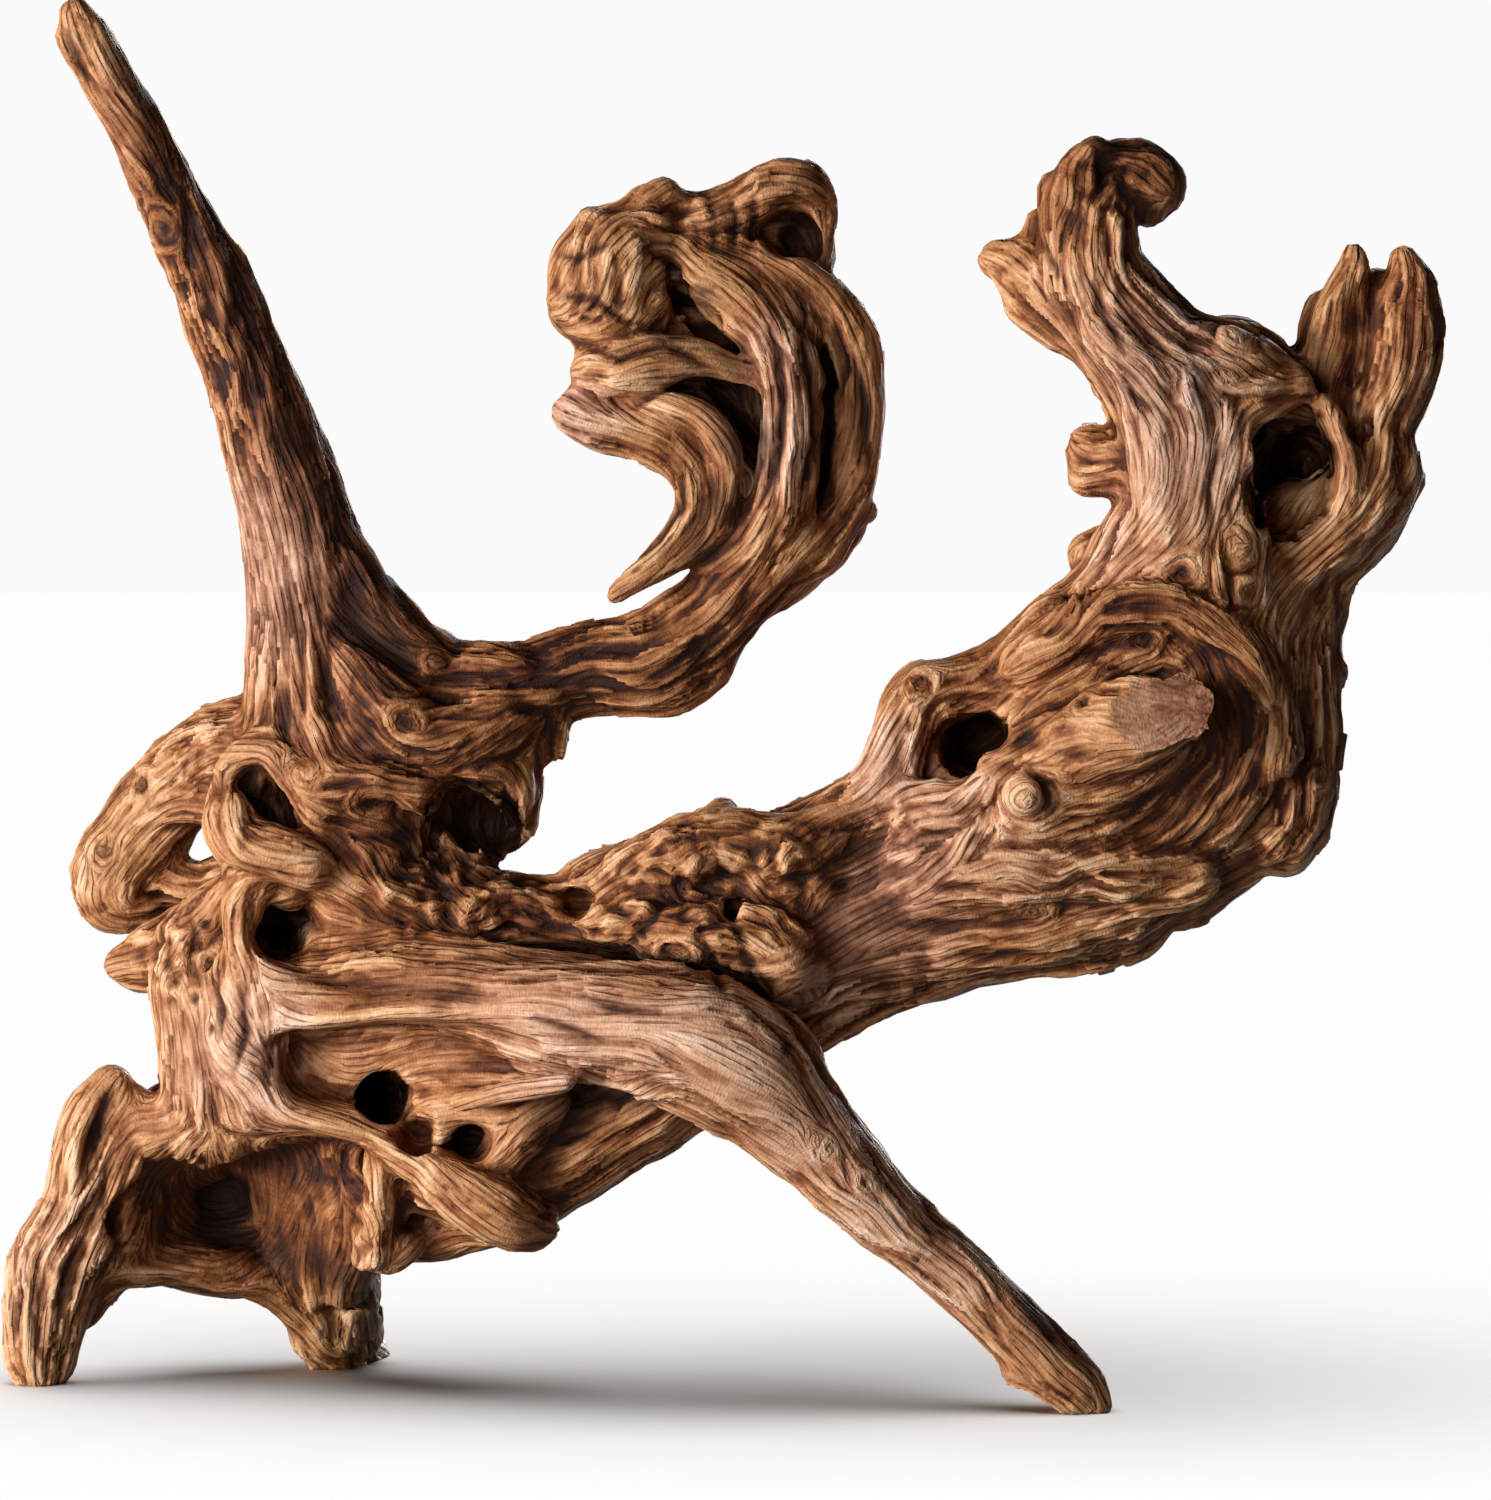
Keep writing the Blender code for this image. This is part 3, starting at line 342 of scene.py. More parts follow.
HOLLOW_FOOT = {
    "wing_outer": [
        (-190, 94.8, 18, 5.8), (-194.6, 86.6, 18, 8.6), (-198, 74, 19, 9.2), (-202, 59, 21, 8.8),
        (-209.6, 43, 24, 10.4), (-212.2, 26, 27, 9.8), (-213, 13, 29, 8.4), (-212.5, 7, 30, 5.8),
    ],
    "wing_inner": [
        (-184, 88, 18, 7), (-187, 72, 20, 8), (-195, 54, 23, 8), (-202, 38, 26, 8.4), (-206, 24, 28, 8.2),
        (-208, 12, 30, 6.4),
    ],
    "wing_neck": [(-184, 85, 18, 7), (-174, 83, 16, 9), (-162, 86, 14, 12)],
    "wing_keel": [(-192, 66, 30, 8), (-192, 50, 34, 9), (-192, 40, 36, 7), (-199, 28, 34, 6)],
    "cave_floor": [
        (-192, 42, 32, 7), (-182, 42, 36, 7.6), (-168, 42, 40, 7), (-154, 39, 44, 6.6),
        (-142, 35.5, 49, 6.6), (-131.4, 27, 56, 7.2), (-125.4, 18.4, 62, 9), (-121, 14, 74, 9),
        (-117, 12, 86, 9), (-114, 11, 96, 8),
    ],
    "cave_floor_back": [
        (-176, 46, 48, 10), (-156, 42, 54, 10), (-138, 40, 60, 9), (-124, 30, 68, 9), (-117, 21, 72, 8),
    ],
    "cave_back": [
        (-180, 64, 46, 12), (-160, 64, 54, 14), (-136, 60, 56, 15), (-112, 58, 50, 15), (-90, 60, 36, 14),
    ],
    "cave_back_top": [
        (-172, 84, 34, 12), (-150, 84, 42, 15), (-124, 84, 44, 16), (-98, 84, 38, 18), (-70, 84, 24, 18),
    ],
    "cave_roof": [(-164, 98, 26, 12), (-140, 104, 30, 14), (-110, 108, 26, 16), (-76, 110, 18, 16)],
    "brow_ridge": [
        (-176, 80, 14, 7), (-158, 84, 4, 7), (-140, 85, -4, 6), (-122, 84.5, -10, 4.8),
        (-109, 79, -14, 4.6), (-100, 71, -16, 5),
    ],
    "mask": [
        (-150, 104, 8, 15), (-128, 104, 6, 15), (-104, 106, 2, 16), (-80, 106, -4, 15),
        (-60, 108, -10, 14),
    ],
    "mask_low": [(-122, 90, 4, 10), (-100, 88, 0, 12), (-84, 88, -4, 12), (-66, 88, -8, 12)],
    "eye_ring": [
        (-92, 88, -14, 4.4), (-82, 88, -16, 4.6), (-72, 84, -17, 5), (-70, 76, -17, 5), (-76, 69, -17, 5),
    ],
    "lobe": [
        (-98, 72, -15, 5.4), (-89, 66, -18, 8.4), (-78, 60, -19, 10.4), (-68, 54.4, -16, 9.6),
        (-63.5, 53, -13, 7.6),
    ],
    "lobe_back": [(-92, 66, -2, 10), (-76, 64, -2, 13), (-64, 66, -2, 13)],
    "lobe_knob": [(-74, 76, -14, 8), (-64, 84, -16, 8), (-58, 90, -16, 6)],
    "tooth": [(-108, 74, -8, 6), (-110.5, 62, -6, 6.4), (-112.5, 51, -5, 6), (-114.5, 44, -5, 4.8)],
    "tooth_hook": [(-112, 48, -4, 5.4), (-108, 43.4, -2, 4.8), (-102, 46, 0, 5)],
    "chin": [(-106, 52, 16, 9), (-94, 51, 12, 9), (-82, 54, 6, 8.8), (-76, 54, 2, 8)],
    "foot_cliff": [(-120, 40, 42, 9), (-116, 33, 52, 6.6), (-115.5, 24, 62, 6)],
}

GROWN = [SPIKE, CROWN, LOOP, RIDGE, FRONT_BAR, TRUNK, STUB, FORK, CURL, HOLLOW_FOOT]

CARVED = {
    "crown_cave": [(-92, 181, -26, 6), (-85, 177, -12, 10), (-79, 174, -1, 9.6), (-70, 168, 2, 7)],
    "notch_behind_knuckle": [
        (-150, 184, -20, 3.6), (-144, 182, -10, 5.6), (-138, 177, -2, 6), (-132, 171, -2, 5),
    ],
    "loop_dish": [(-171, 165, 4, 5), (-163, 165, 10, 5)],
    "ridge_cave": [(-132, 141, -34, 7), (-138, 140.5, -18, 8.6), (-140, 140, 0, 8), (-140, 142, 8, 6)],
    "ridge_bowl": [(-124, 147, -34, 13), (-118, 144, -28, 14)],
    "mask_scoop": [
        (-136, 100, -16, 7), (-126, 101, -22, 11), (-110, 102, -28, 13), (-92, 103, -32, 12),
        (-76, 104, -38, 9), (-66, 104, -42, 6),
    ],
    "mask_cave": [(-108, 92, -34, 8.4), (-108, 91, -14, 8.6), (-112, 90, 10, 9), (-116, 86, 26, 8)],
    "mask_pit": [(-99, 80, -30, 7), (-98, 80, -17, 7), (-98, 81, -12, 5)],
    "eye_cave": [(-82, 78, -34, 6), (-82, 78, -18, 6.4), (-84, 79, -4, 6)],
    "cave": [(-126, 62, -20, 15), (-136, 60, 6, 19), (-150, 60, 26, 17), (-158, 60, 38, 12)],
    "cave_left": [(-160, 62, 2, 12), (-174, 60, 14, 10), (-186, 56, 22, 8)],
    "cave_low": [(-136, 46, 22, 9), (-124, 36, 44, 7), (-113, 30, 56, 5)],
    "hole": [(60, 192, -40, 8), (62, 193, -22, 8), (66, 196, -4, 9), (70, 198, 14, 9)],
    "hole_side": [(72, 200, -32, 6.4), (73, 201, -14, 7), (72, 200, 4, 7)],
    "knot_slit": [(86, 190, -34, 2), (91, 184, -34, 2.4), (92, 178, -33, 2)],
    "stub_moat_top": [
        (92, 212, -32, 5), (106, 222, -30, 7), (124, 225, -29, 7), (140, 219, -28, 8),
        (149, 204, -26, 8.6), (145, 190, -27, 8.6),
    ],
    "stub_moat_low": [(145, 190, -27, 8.6), (134, 180, -28, 9.4), (121, 176, -30, 8)],
    "trunk_shade": [(28, 152, -26, 9), (40, 144, -26, 9), (54, 140, -26, 7)],
    "trunk_gutter": [(120, 146, -26, 6), (140, 168, -30, 10), (152, 186, -30, 10), (156, 204, -28, 7)],
    "nose_hole": [(26, 158, -22, 3.4), (30, 155, -10, 4)],
    "rough_pit": [(-5, 148, -30, 3.6), (-4, 147, -12, 4)],
    "saddle_pit": [(-52, 149, -22, 5), (-50, 150, -2, 6)],
    "pocket": [(171, 270, -32, 10), (167, 274, -24, 12.6), (159, 281, -10, 10)],
    "pocket_high": [(165, 283, -26, 8), (160, 286, -14, 9), (156, 287, -2, 9), (160, 292, 0, 6)],
    "pocket_slot": [(173, 303, -14, 4), (173, 312, -10, 4), (172, 318, -8, 4)],
    "trough": [(181, 304, -8, 7), (185, 318, -6, 8), (189, 332, -5, 7.5), (191, 346, -4, 6.5)],
    "ledge_cave": [(186, 291, -14, 4), (184, 292, -4, 5)],
    "curl_gap": [
        (-4, 262, -26, 2.4), (1, 275, -26, 3), (2, 292, -26, 3.4), (-3, 304, -26, 6), (-14, 306, -26, 4),
    ],
    "curl_gap_deep": [
        (-10, 256, -6, 4), (0, 272, -2, 5), (2, 290, 0, 6), (-4, 304, 0, 8), (-18, 306, -4, 5),
    ],
    "head_gap": [(-24, 340, -24, 3), (-18, 330, -20, 4), (-11, 322, -16, 4), (-2, 317, -14, 4)],
    "head_gap_deep": [(-22, 338, -8, 4), (-16, 328, -4, 5), (-8, 320, 0, 5)],
    "crest_cave": [(10, 350, -18, 7), (14, 350, -4, 8.4), (17, 348, 6, 7)],
    "flute_groove": [(24, 268, -16, 2.6), (27.5, 285, -14, 3), (27.5, 304, -14, 3), (24.5, 318, -14, 3)],
    "claw_groove": [(-32, 301, -24, 1.8), (-26, 304.5, -22, 2.4), (-16, 305, -18, 2.4)],
    "wing_slit": [(-189, 91, 6, 1.6), (-194, 82, 9, 2.2), (-197, 73, 10, 1.6)],
    "ridge_slit": [(-183, 132, 6, 1.6), (-176, 137, 4, 1.6), (-170, 139, 2, 1.4)],
    "ridge_gully": [(-158, 142, -8, 2.4), (-160, 132, -4, 2.6), (-160, 124, -2, 2)],
}

# Grain strokes lead the grain where it doesn't simply follow a strand. Each is (reach, [(across, up), ...]).
STROKES = [
    (9, [(-128, 262), (-124, 240), (-112, 226), (-100, 221), (-90, 222)]),
    (8, [(-134, 230), (-132, 208), (-124, 196), (-110, 192), (-96, 194)]),
    (9, [(-100, 208), (-84, 212), (-66, 214), (-46, 220)]),
    (8, [(-120, 190), (-106, 187), (-92, 190), (-78, 198), (-66, 206)]),
    (8, [(-124, 176), (-108, 172), (-98, 166), (-86, 158), (-70, 156), (-54, 154)]),
    (8, [(-139, 127), (-110, 126), (-84, 124), (-60, 119), (-38, 116), (-14, 112)]),
    (9, [(-132, 112), (-104, 115), (-70, 114), (-40, 108), (-14, 98), (6, 86)]),
    (8, [(-40, 112), (-16, 116), (2, 112), (14, 102), (24, 88), (40, 70)]),
    (9, [(-134, 104), (-124, 96), (-112, 98), (-96, 104), (-76, 104), (-60, 100)]),
    (9, [(-188, 78), (-196, 60), (-206, 40), (-212, 20)]),
    (9, [(-170, 74), (-180, 66), (-188, 52), (-196, 36)]),
    (9, [(-130, 78), (-118, 66), (-112, 52), (-118, 36)]),
    (9, [(-120, 74), (-128, 62), (-140, 48), (-150, 42)]),
    (10, [(10, 128), (30, 138), (56, 152), (82, 158), (108, 158), (136, 166)]),
    (9, [(40, 124), (70, 134), (100, 142), (126, 152), (150, 166)]),
    (10, [(60, 160), (72, 172), (76, 184), (88, 192)]),
    (9, [(92, 224), (108, 232), (126, 232), (142, 222), (150, 204), (146, 184), (134, 170)]),
    (9, [(96, 212), (108, 220), (124, 222), (138, 212), (144, 198)]),
    (9, [(86, 200), (98, 210), (112, 214), (126, 214)]),
    (9, [(94, 182), (108, 178), (122, 180), (136, 190)]),
    (9, [(162, 178), (162, 200), (164, 226), (172, 246)]),
    (9, [(150, 238), (158, 248), (170, 254), (184, 262)]),
    (10, [(100, 240), (112, 254), (128, 268), (132, 290), (124, 310), (108, 328)]),
    (9, [(122, 250), (138, 262), (144, 280), (142, 296)]),
    (9, [(104, 330), (100, 344), (98, 358), (100, 370)]),
    (9, [(110, 340), (108, 354), (112, 364), (122, 366)]),
    (8, [(176, 300), (178, 314), (182, 330), (184, 342)]),
    (9, [(184, 262), (194, 276), (194, 292), (200, 310), (202, 330)]),
    (8, [
        (-28, 222), (-10, 234), (4, 248), (14, 262), (14, 286), (14, 304), (8, 320), (-4, 336),
        (-16, 346),
    ]),
    (8, [(22, 262), (32, 276), (36, 296), (34, 316), (26, 332), (12, 342)]),
    (8, [(-10, 214), (6, 226), (20, 240), (30, 256)]),
    (8, [(-50, 300), (-38, 294), (-24, 290), (-16, 280), (-16, 266), (-26, 252), (-38, 242)]),
    (8, [(-46, 308), (-30, 312), (-14, 312), (0, 308)]),
    (9, [(-54, 336), (-46, 350), (-34, 356), (-22, 350)]),
    (8, [(-52, 326), (-40, 332), (-30, 344), (-20, 354), (-4, 356)]),
    (7, [(-160, 188), (-158, 174), (-152, 164), (-140, 160), (-128, 160)]),
    (7, [(-190, 132), (-178, 138), (-166, 146), (-154, 158)]),
    (8, [(-166, 134), (-164, 116), (-160, 98), (-150, 86)]),
    (8, [(-148, 124), (-146, 108), (-140, 92)]),
    (8, [(-186, 170), (-178, 184), (-164, 194), (-148, 198)]),
    (8, [(-60, 78), (-44, 88), (-24, 98)]),
    (8, [(-98, 70), (-86, 62), (-72, 56)]),
]

# Knots are (across, up, radius, height): a bump where the height is positive, a pit where it is negative.
KNOTS = [
    (-175, 352, 4.2, -0.9), (-102, 204, 3.6, -2.2), (-132, 189, 3.6, 0.6), (-112, 180, 4.4, -1.2),
    (-93, 222, 3.0, 0.4), (-181, 185, 2.8, -1.0), (-192, 165, 3.2, -1.0), (84, 181, 7.5, 1.3),
    (131, 249, 4.0, -2.4), (149, 256, 4.5, 0.4), (151, 243, 3.4, -1.0), (127, 309, 3.0, 0.3),
    (145, 306, 2.6, 0.6), (147, 320, 4.4, 1.2), (101, 210, 3.2, -1.8), (120, 229, 3.6, -2.0),
    (88, 147, 4.0, 0.2), (24, 77, 3.0, 0.3), (36, 66, 2.4, 0.3), (53, 216, 3.0, -1.4),
    (172, 187, 2.8, -2.2), (-162, 143, 2.4, -1.8), (-161, 132, 2.6, -2.0), (-165, 121, 2.2, -1.6),
    (-160, 112, 2.0, -1.6), (-171, 126, 2.4, -1.8),
]

# Cracks are (width, depth, [(across, up), ...]), and a negative depth is a raised rib.
CRACKS = [
    (1.4, 1.8, [(-27, 147), (-31, 142), (-34, 137)]),
    (1.5, 1.8, [(106, 330), (110, 322), (114, 315)]),
    (1.5, 2.0, [(114, 303), (118, 300), (122, 297)]),
    (1.6, 2.2, [(-220, 20), (-218.5, 28), (-217, 35)]),
    (1.8, 2.4, [(-190, 96), (-194, 84), (-198, 70)]),
    (1.4, 1.6, [(84, 191), (89, 186), (92, 177)]),
    (1.4, 1.6, [(-15, 144), (-10, 132), (-6, 121)]),
    (1.4, 1.6, [(-4, 146), (0, 134), (4, 122)]),
    (1.6, -1.1, [(-146, 108), (-136, 113.5), (-118, 116), (-100, 117.5), (-86, 117)]),
    (1.4, -1.2, [
        (-93, 88), (-91, 81), (-93, 75), (-98, 72), (-104, 74), (-112, 80), (-122, 83), (-135, 84),
    ]),
    (1.4, -0.9, [(-60, 97), (-46, 97), (-34, 94), (-24, 90)]),
    (1.3, 1.5, [(90, 350), (92, 342), (95, 336)]),
    (1.5, 1.8, [(104, 360), (107, 366), (108, 374)]),
    (1.3, 1.5, [(116, 352), (112, 358), (113, 366)]),
    (1.2, 1.4, [(-206, 12), (-207, 22), (-205, 34), (-200, 48)]),
    (1.2, 1.4, [(-212, 12), (-213, 24), (-212, 38)]),
    (1.3, 1.5, [(-204, 412), (-201, 404), (-197, 394)]),
    (1.3, 1.6, [(28, 300), (30, 312), (27, 322)]),
    (1.3, 1.6, [(34, 282), (35, 296), (34, 308)]),
    (1.2, -1.2, [(14, 322), (20, 316), (22, 306)]),
    (1.2, -1.2, [(18, 326), (25, 318), (28, 308)]),
    (1.2, 1.5, [(-50, 317), (-38, 313), (-24, 318), (-8, 308)]),
    (1.2, 1.4, [(-34, 298), (-26, 303), (-16, 305)]),
    (1.1, 1.3, [(-30, 346), (-20, 340), (-14, 330)]),
    (1.1, 1.2, [(-12, 362), (-9, 354), (-10, 345)]),
    (1.1, 1.2, [(-5, 362), (-3, 354), (-4, 344)]),
    (1.1, 1.2, [(2, 362), (3, 354), (1, 346)]),
    (1.1, 1.2, [(-60, 345), (-50, 343), (-40, 348)]),
    (1.1, 1.2, [(-56, 332), (-46, 331), (-36, 324), (-26, 322)]),
    (1.2, 1.5, [(-160, 128), (-157, 118), (-158, 108)]),
    (1.2, 1.4, [(-152, 124), (-150, 110), (-154, 98)]),
    (1.2, -1.1, [(112, 186), (122, 191), (133, 197), (141, 207)]),
    (1.1, 1.3, [(140, 262), (139, 274), (142, 288)]),
    (1.1, 1.3, [(146, 262), (145, 270), (148, 276)]),
    (1.0, 1.0, [(-66, 116), (-56, 113), (-44, 109)]),
    (1.0, 1.0, [(-50, 122), (-38, 118), (-26, 117)]),
    (1.5, 2.4, [(9, 318), (11, 302), (10, 286), (5, 270)]),
    (1.4, 2.2, [(17, 322), (20, 306), (21, 288), (16, 270)]),
    (1.5, 2.4, [(33, 312), (37, 298), (37, 282)]),
    (1.3, -1.3, [(13, 318), (15, 302), (14, 286), (9, 268)]),
    (1.2, 1.6, [(-36, 250), (-26, 258), (-19, 270), (-20, 284)]),
    (1.2, -1.2, [(-38, 246), (-27, 254), (-15, 268), (-14, 282)]),
    (1.3, 1.8, [(-8, 222), (6, 236), (18, 250)]),
    (1.3, 1.6, [(-30, 216), (-14, 226), (-2, 238)]),
]

# Warty zones are (across, up, reach).
WARTY = [
    (-96, 154, 18), (-76, 152, 18), (-34, 148, 16), (-14, 156, 22), (12, 158, 18), (-172, 136, 14),
    (-112, 44, 8), (120, 12, 10), (108, 366, 14), (-16, 354, 10), (160, 165, 10),
]

# Wild zones, where the grain wanders, are (across, up, reach).
WILD = [
    (84, 164, 26), (66, 176, 20), (100, 160, 18), (-108, 202, 22), (-114, 184, 20), (-92, 158, 30),
    (-8, 156, 34), (-172, 134, 18), (-36, 338, 24), (-36, 304, 16), (122, 372, 20), (100, 362, 16),
    (150, 300, 16), (140, 252, 20), (184, 318, 14), (110, 204, 18), (120, 228, 20), (-150, 100, 26),
    (-126, 20, 18), (-120, 60, 22), (108, 282, 14),
]

# Melted zones, where strands flow into one another, are (across, up, reach).
MELTED = [
    (52, 174, 20), (46, 160, 16), (8, 140, 13), (-164, 108, 26), (-150, 96, 22), (-176, 86, 12),
    (136, 276, 14), (146, 300, 16), (112, 202, 13), (-36, 338, 14), (96, 166, 22), (120, 160, 18),
    (182, 320, 10), (104, 356, 10), (-117, 66, 15), (-117, 50, 10), (-164, 78, 22), (-148, 78, 20),
    (-158, 106, 34), (-130, 60, 30), (-174, 62, 20), (160, 305, 10), (-150, 116, 12),
]

# Strands that only the skin has. Each point is (across, up, depth, radius).
FILLED = {
    "stem_right": [
        (146, 244, -10, 10), (147, 262, -12, 9), (147, 282, -12, 9), (152, 298, -10, 8),
        (164, 305, -6, 6),
    ],
    "arm": [(128, 314, -4, 13), (146, 312, -4, 11), (158, 307, -3, 8)],
    "dome": [(98, 198, -26, 13), (112, 203, -33, 12), (126, 207, -37, 9)],
    "scoop_crest": [
        (-154, 120, -8, 8), (-144, 115, -13, 6), (-132, 114.5, -18, 4), (-114, 116.5, -23, 3.6),
        (-94, 117.5, -29, 3.6),
    ],
    "scoop_rim": [
        (-152, 108, -8, 9), (-149, 98, -10, 8), (-143, 90, -12, 5.5), (-131, 85.5, -14, 3.6),
        (-118, 82, -15, 3),
    ],
    "lower_rim": [(-86, 90, -28, 3), (-70, 93, -36, 3), (-54, 96, -42, 3)],
    "cheek_fill": [(-161, 128, 6, 9), (-159, 114, 4, 12), (-156, 98, 6, 13), (-150, 88, 10, 12)],
    "tooth_root": [(-103, 68, 2, 8), (-108, 60, 3, 8), (-112, 52, 4, 7)],
}

# The cave's lining, laid in after the hollows are carved.
LINED = {
    "lining_near": [
        (-119, 82, 12, 8), (-119, 70, 16, 9), (-119, 58, 20, 9), (-118, 46, 28, 9), (-120, 36, 42, 8),
    ],
    "lining_right": [
        (-130, 82, 20, 9), (-129, 70, 29, 10), (-129, 58, 34, 10), (-128, 46, 40, 9), (-128, 36, 48, 8),
    ],
    "lining_deep": [
        (-141, 83, 22, 9), (-140, 72, 38, 10), (-138, 60, 45, 10), (-136, 48, 48, 9), (-137, 38, 50, 8),
    ],
    "lining_left": [(-186, 76, 20, 7), (-185, 62, 28, 9), (-184, 50, 32, 8)],
    "lining_left_deep": [(-177, 78, 24, 9), (-176, 66, 40, 9), (-172, 52, 47, 9)],
    "lining_top": [(-165, 83, 16, 9), (-163, 78, 30, 9), (-162, 73, 44, 8)],
    "lining_top_right": [(-151, 84, 16, 9), (-151, 79, 30, 9), (-149, 74, 44, 8)],
}

# Smooth zones are (across, up, reach).
SMOOTH = [
    (-202, 395, 24), (-190, 360, 26), (-176, 325, 26), (-160, 290, 26), (-146, 258, 26), (-100, 118, 22),
    (-66, 112, 26), (-36, 112, 26), (-8, 104, 22), (16, 88, 20), (-164, 108, 24), (-180, 90, 16),
    (-118, 144, 14), (36, 146, 24), (134, 275, 20), (168, 275, 16), (182, 320, 16), (104, 200, 20),
    (-188, 168, 14), (-120, 102, 24), (-90, 104, 20), (-140, 62, 40), (-165, 62, 26), (-126, 146, 14),
    (-100, 80, 12),
]

# Dishes are (depth, width of the slope, outline): smooth hollows with a crisp rim.
DISHES = [
    (4.5, 7, [
        (-144, 101), (-141, 108), (-134, 112), (-124, 114.5), (-110, 115.5), (-96, 116), (-88, 115),
        (-80, 112), (-72, 107), (-64, 103), (-60, 100.5), (-66, 97), (-74, 95), (-84, 94), (-94, 92),
        (-104, 86), (-118, 84.5), (-128, 86), (-136, 89), (-141, 95),
    ]),
    (5, 3, [(-104, 86), (-98, 86), (-93, 82), (-93, 76), (-97, 73), (-103, 75), (-108, 80)]),
    (3.5, 8, [
        (-147, 131), (-149, 142), (-144, 150), (-134, 155), (-120, 158), (-108, 156), (-103, 148),
        (-104, 138), (-112, 132), (-128, 129),
    ]),
    (8, 6, [
        (-100, 180), (-94, 188), (-84, 190), (-72, 188), (-65, 180), (-64, 170), (-70, 164), (-82, 163),
        (-92, 168), (-99, 174),
    ]),
    (9, 5, [
        (170, 297), (160, 292), (152, 285), (149, 276), (149, 268), (151, 262), (158, 258), (165, 257),
        (172, 260), (177, 265), (179, 272), (180, 280), (179, 288), (176, 294), (173, 300),
    ]),
    (2.5, 6, [
        (175, 304), (178, 318), (176, 330), (181, 341), (190, 340), (193, 325), (192, 308), (187, 301),
    ]),
]

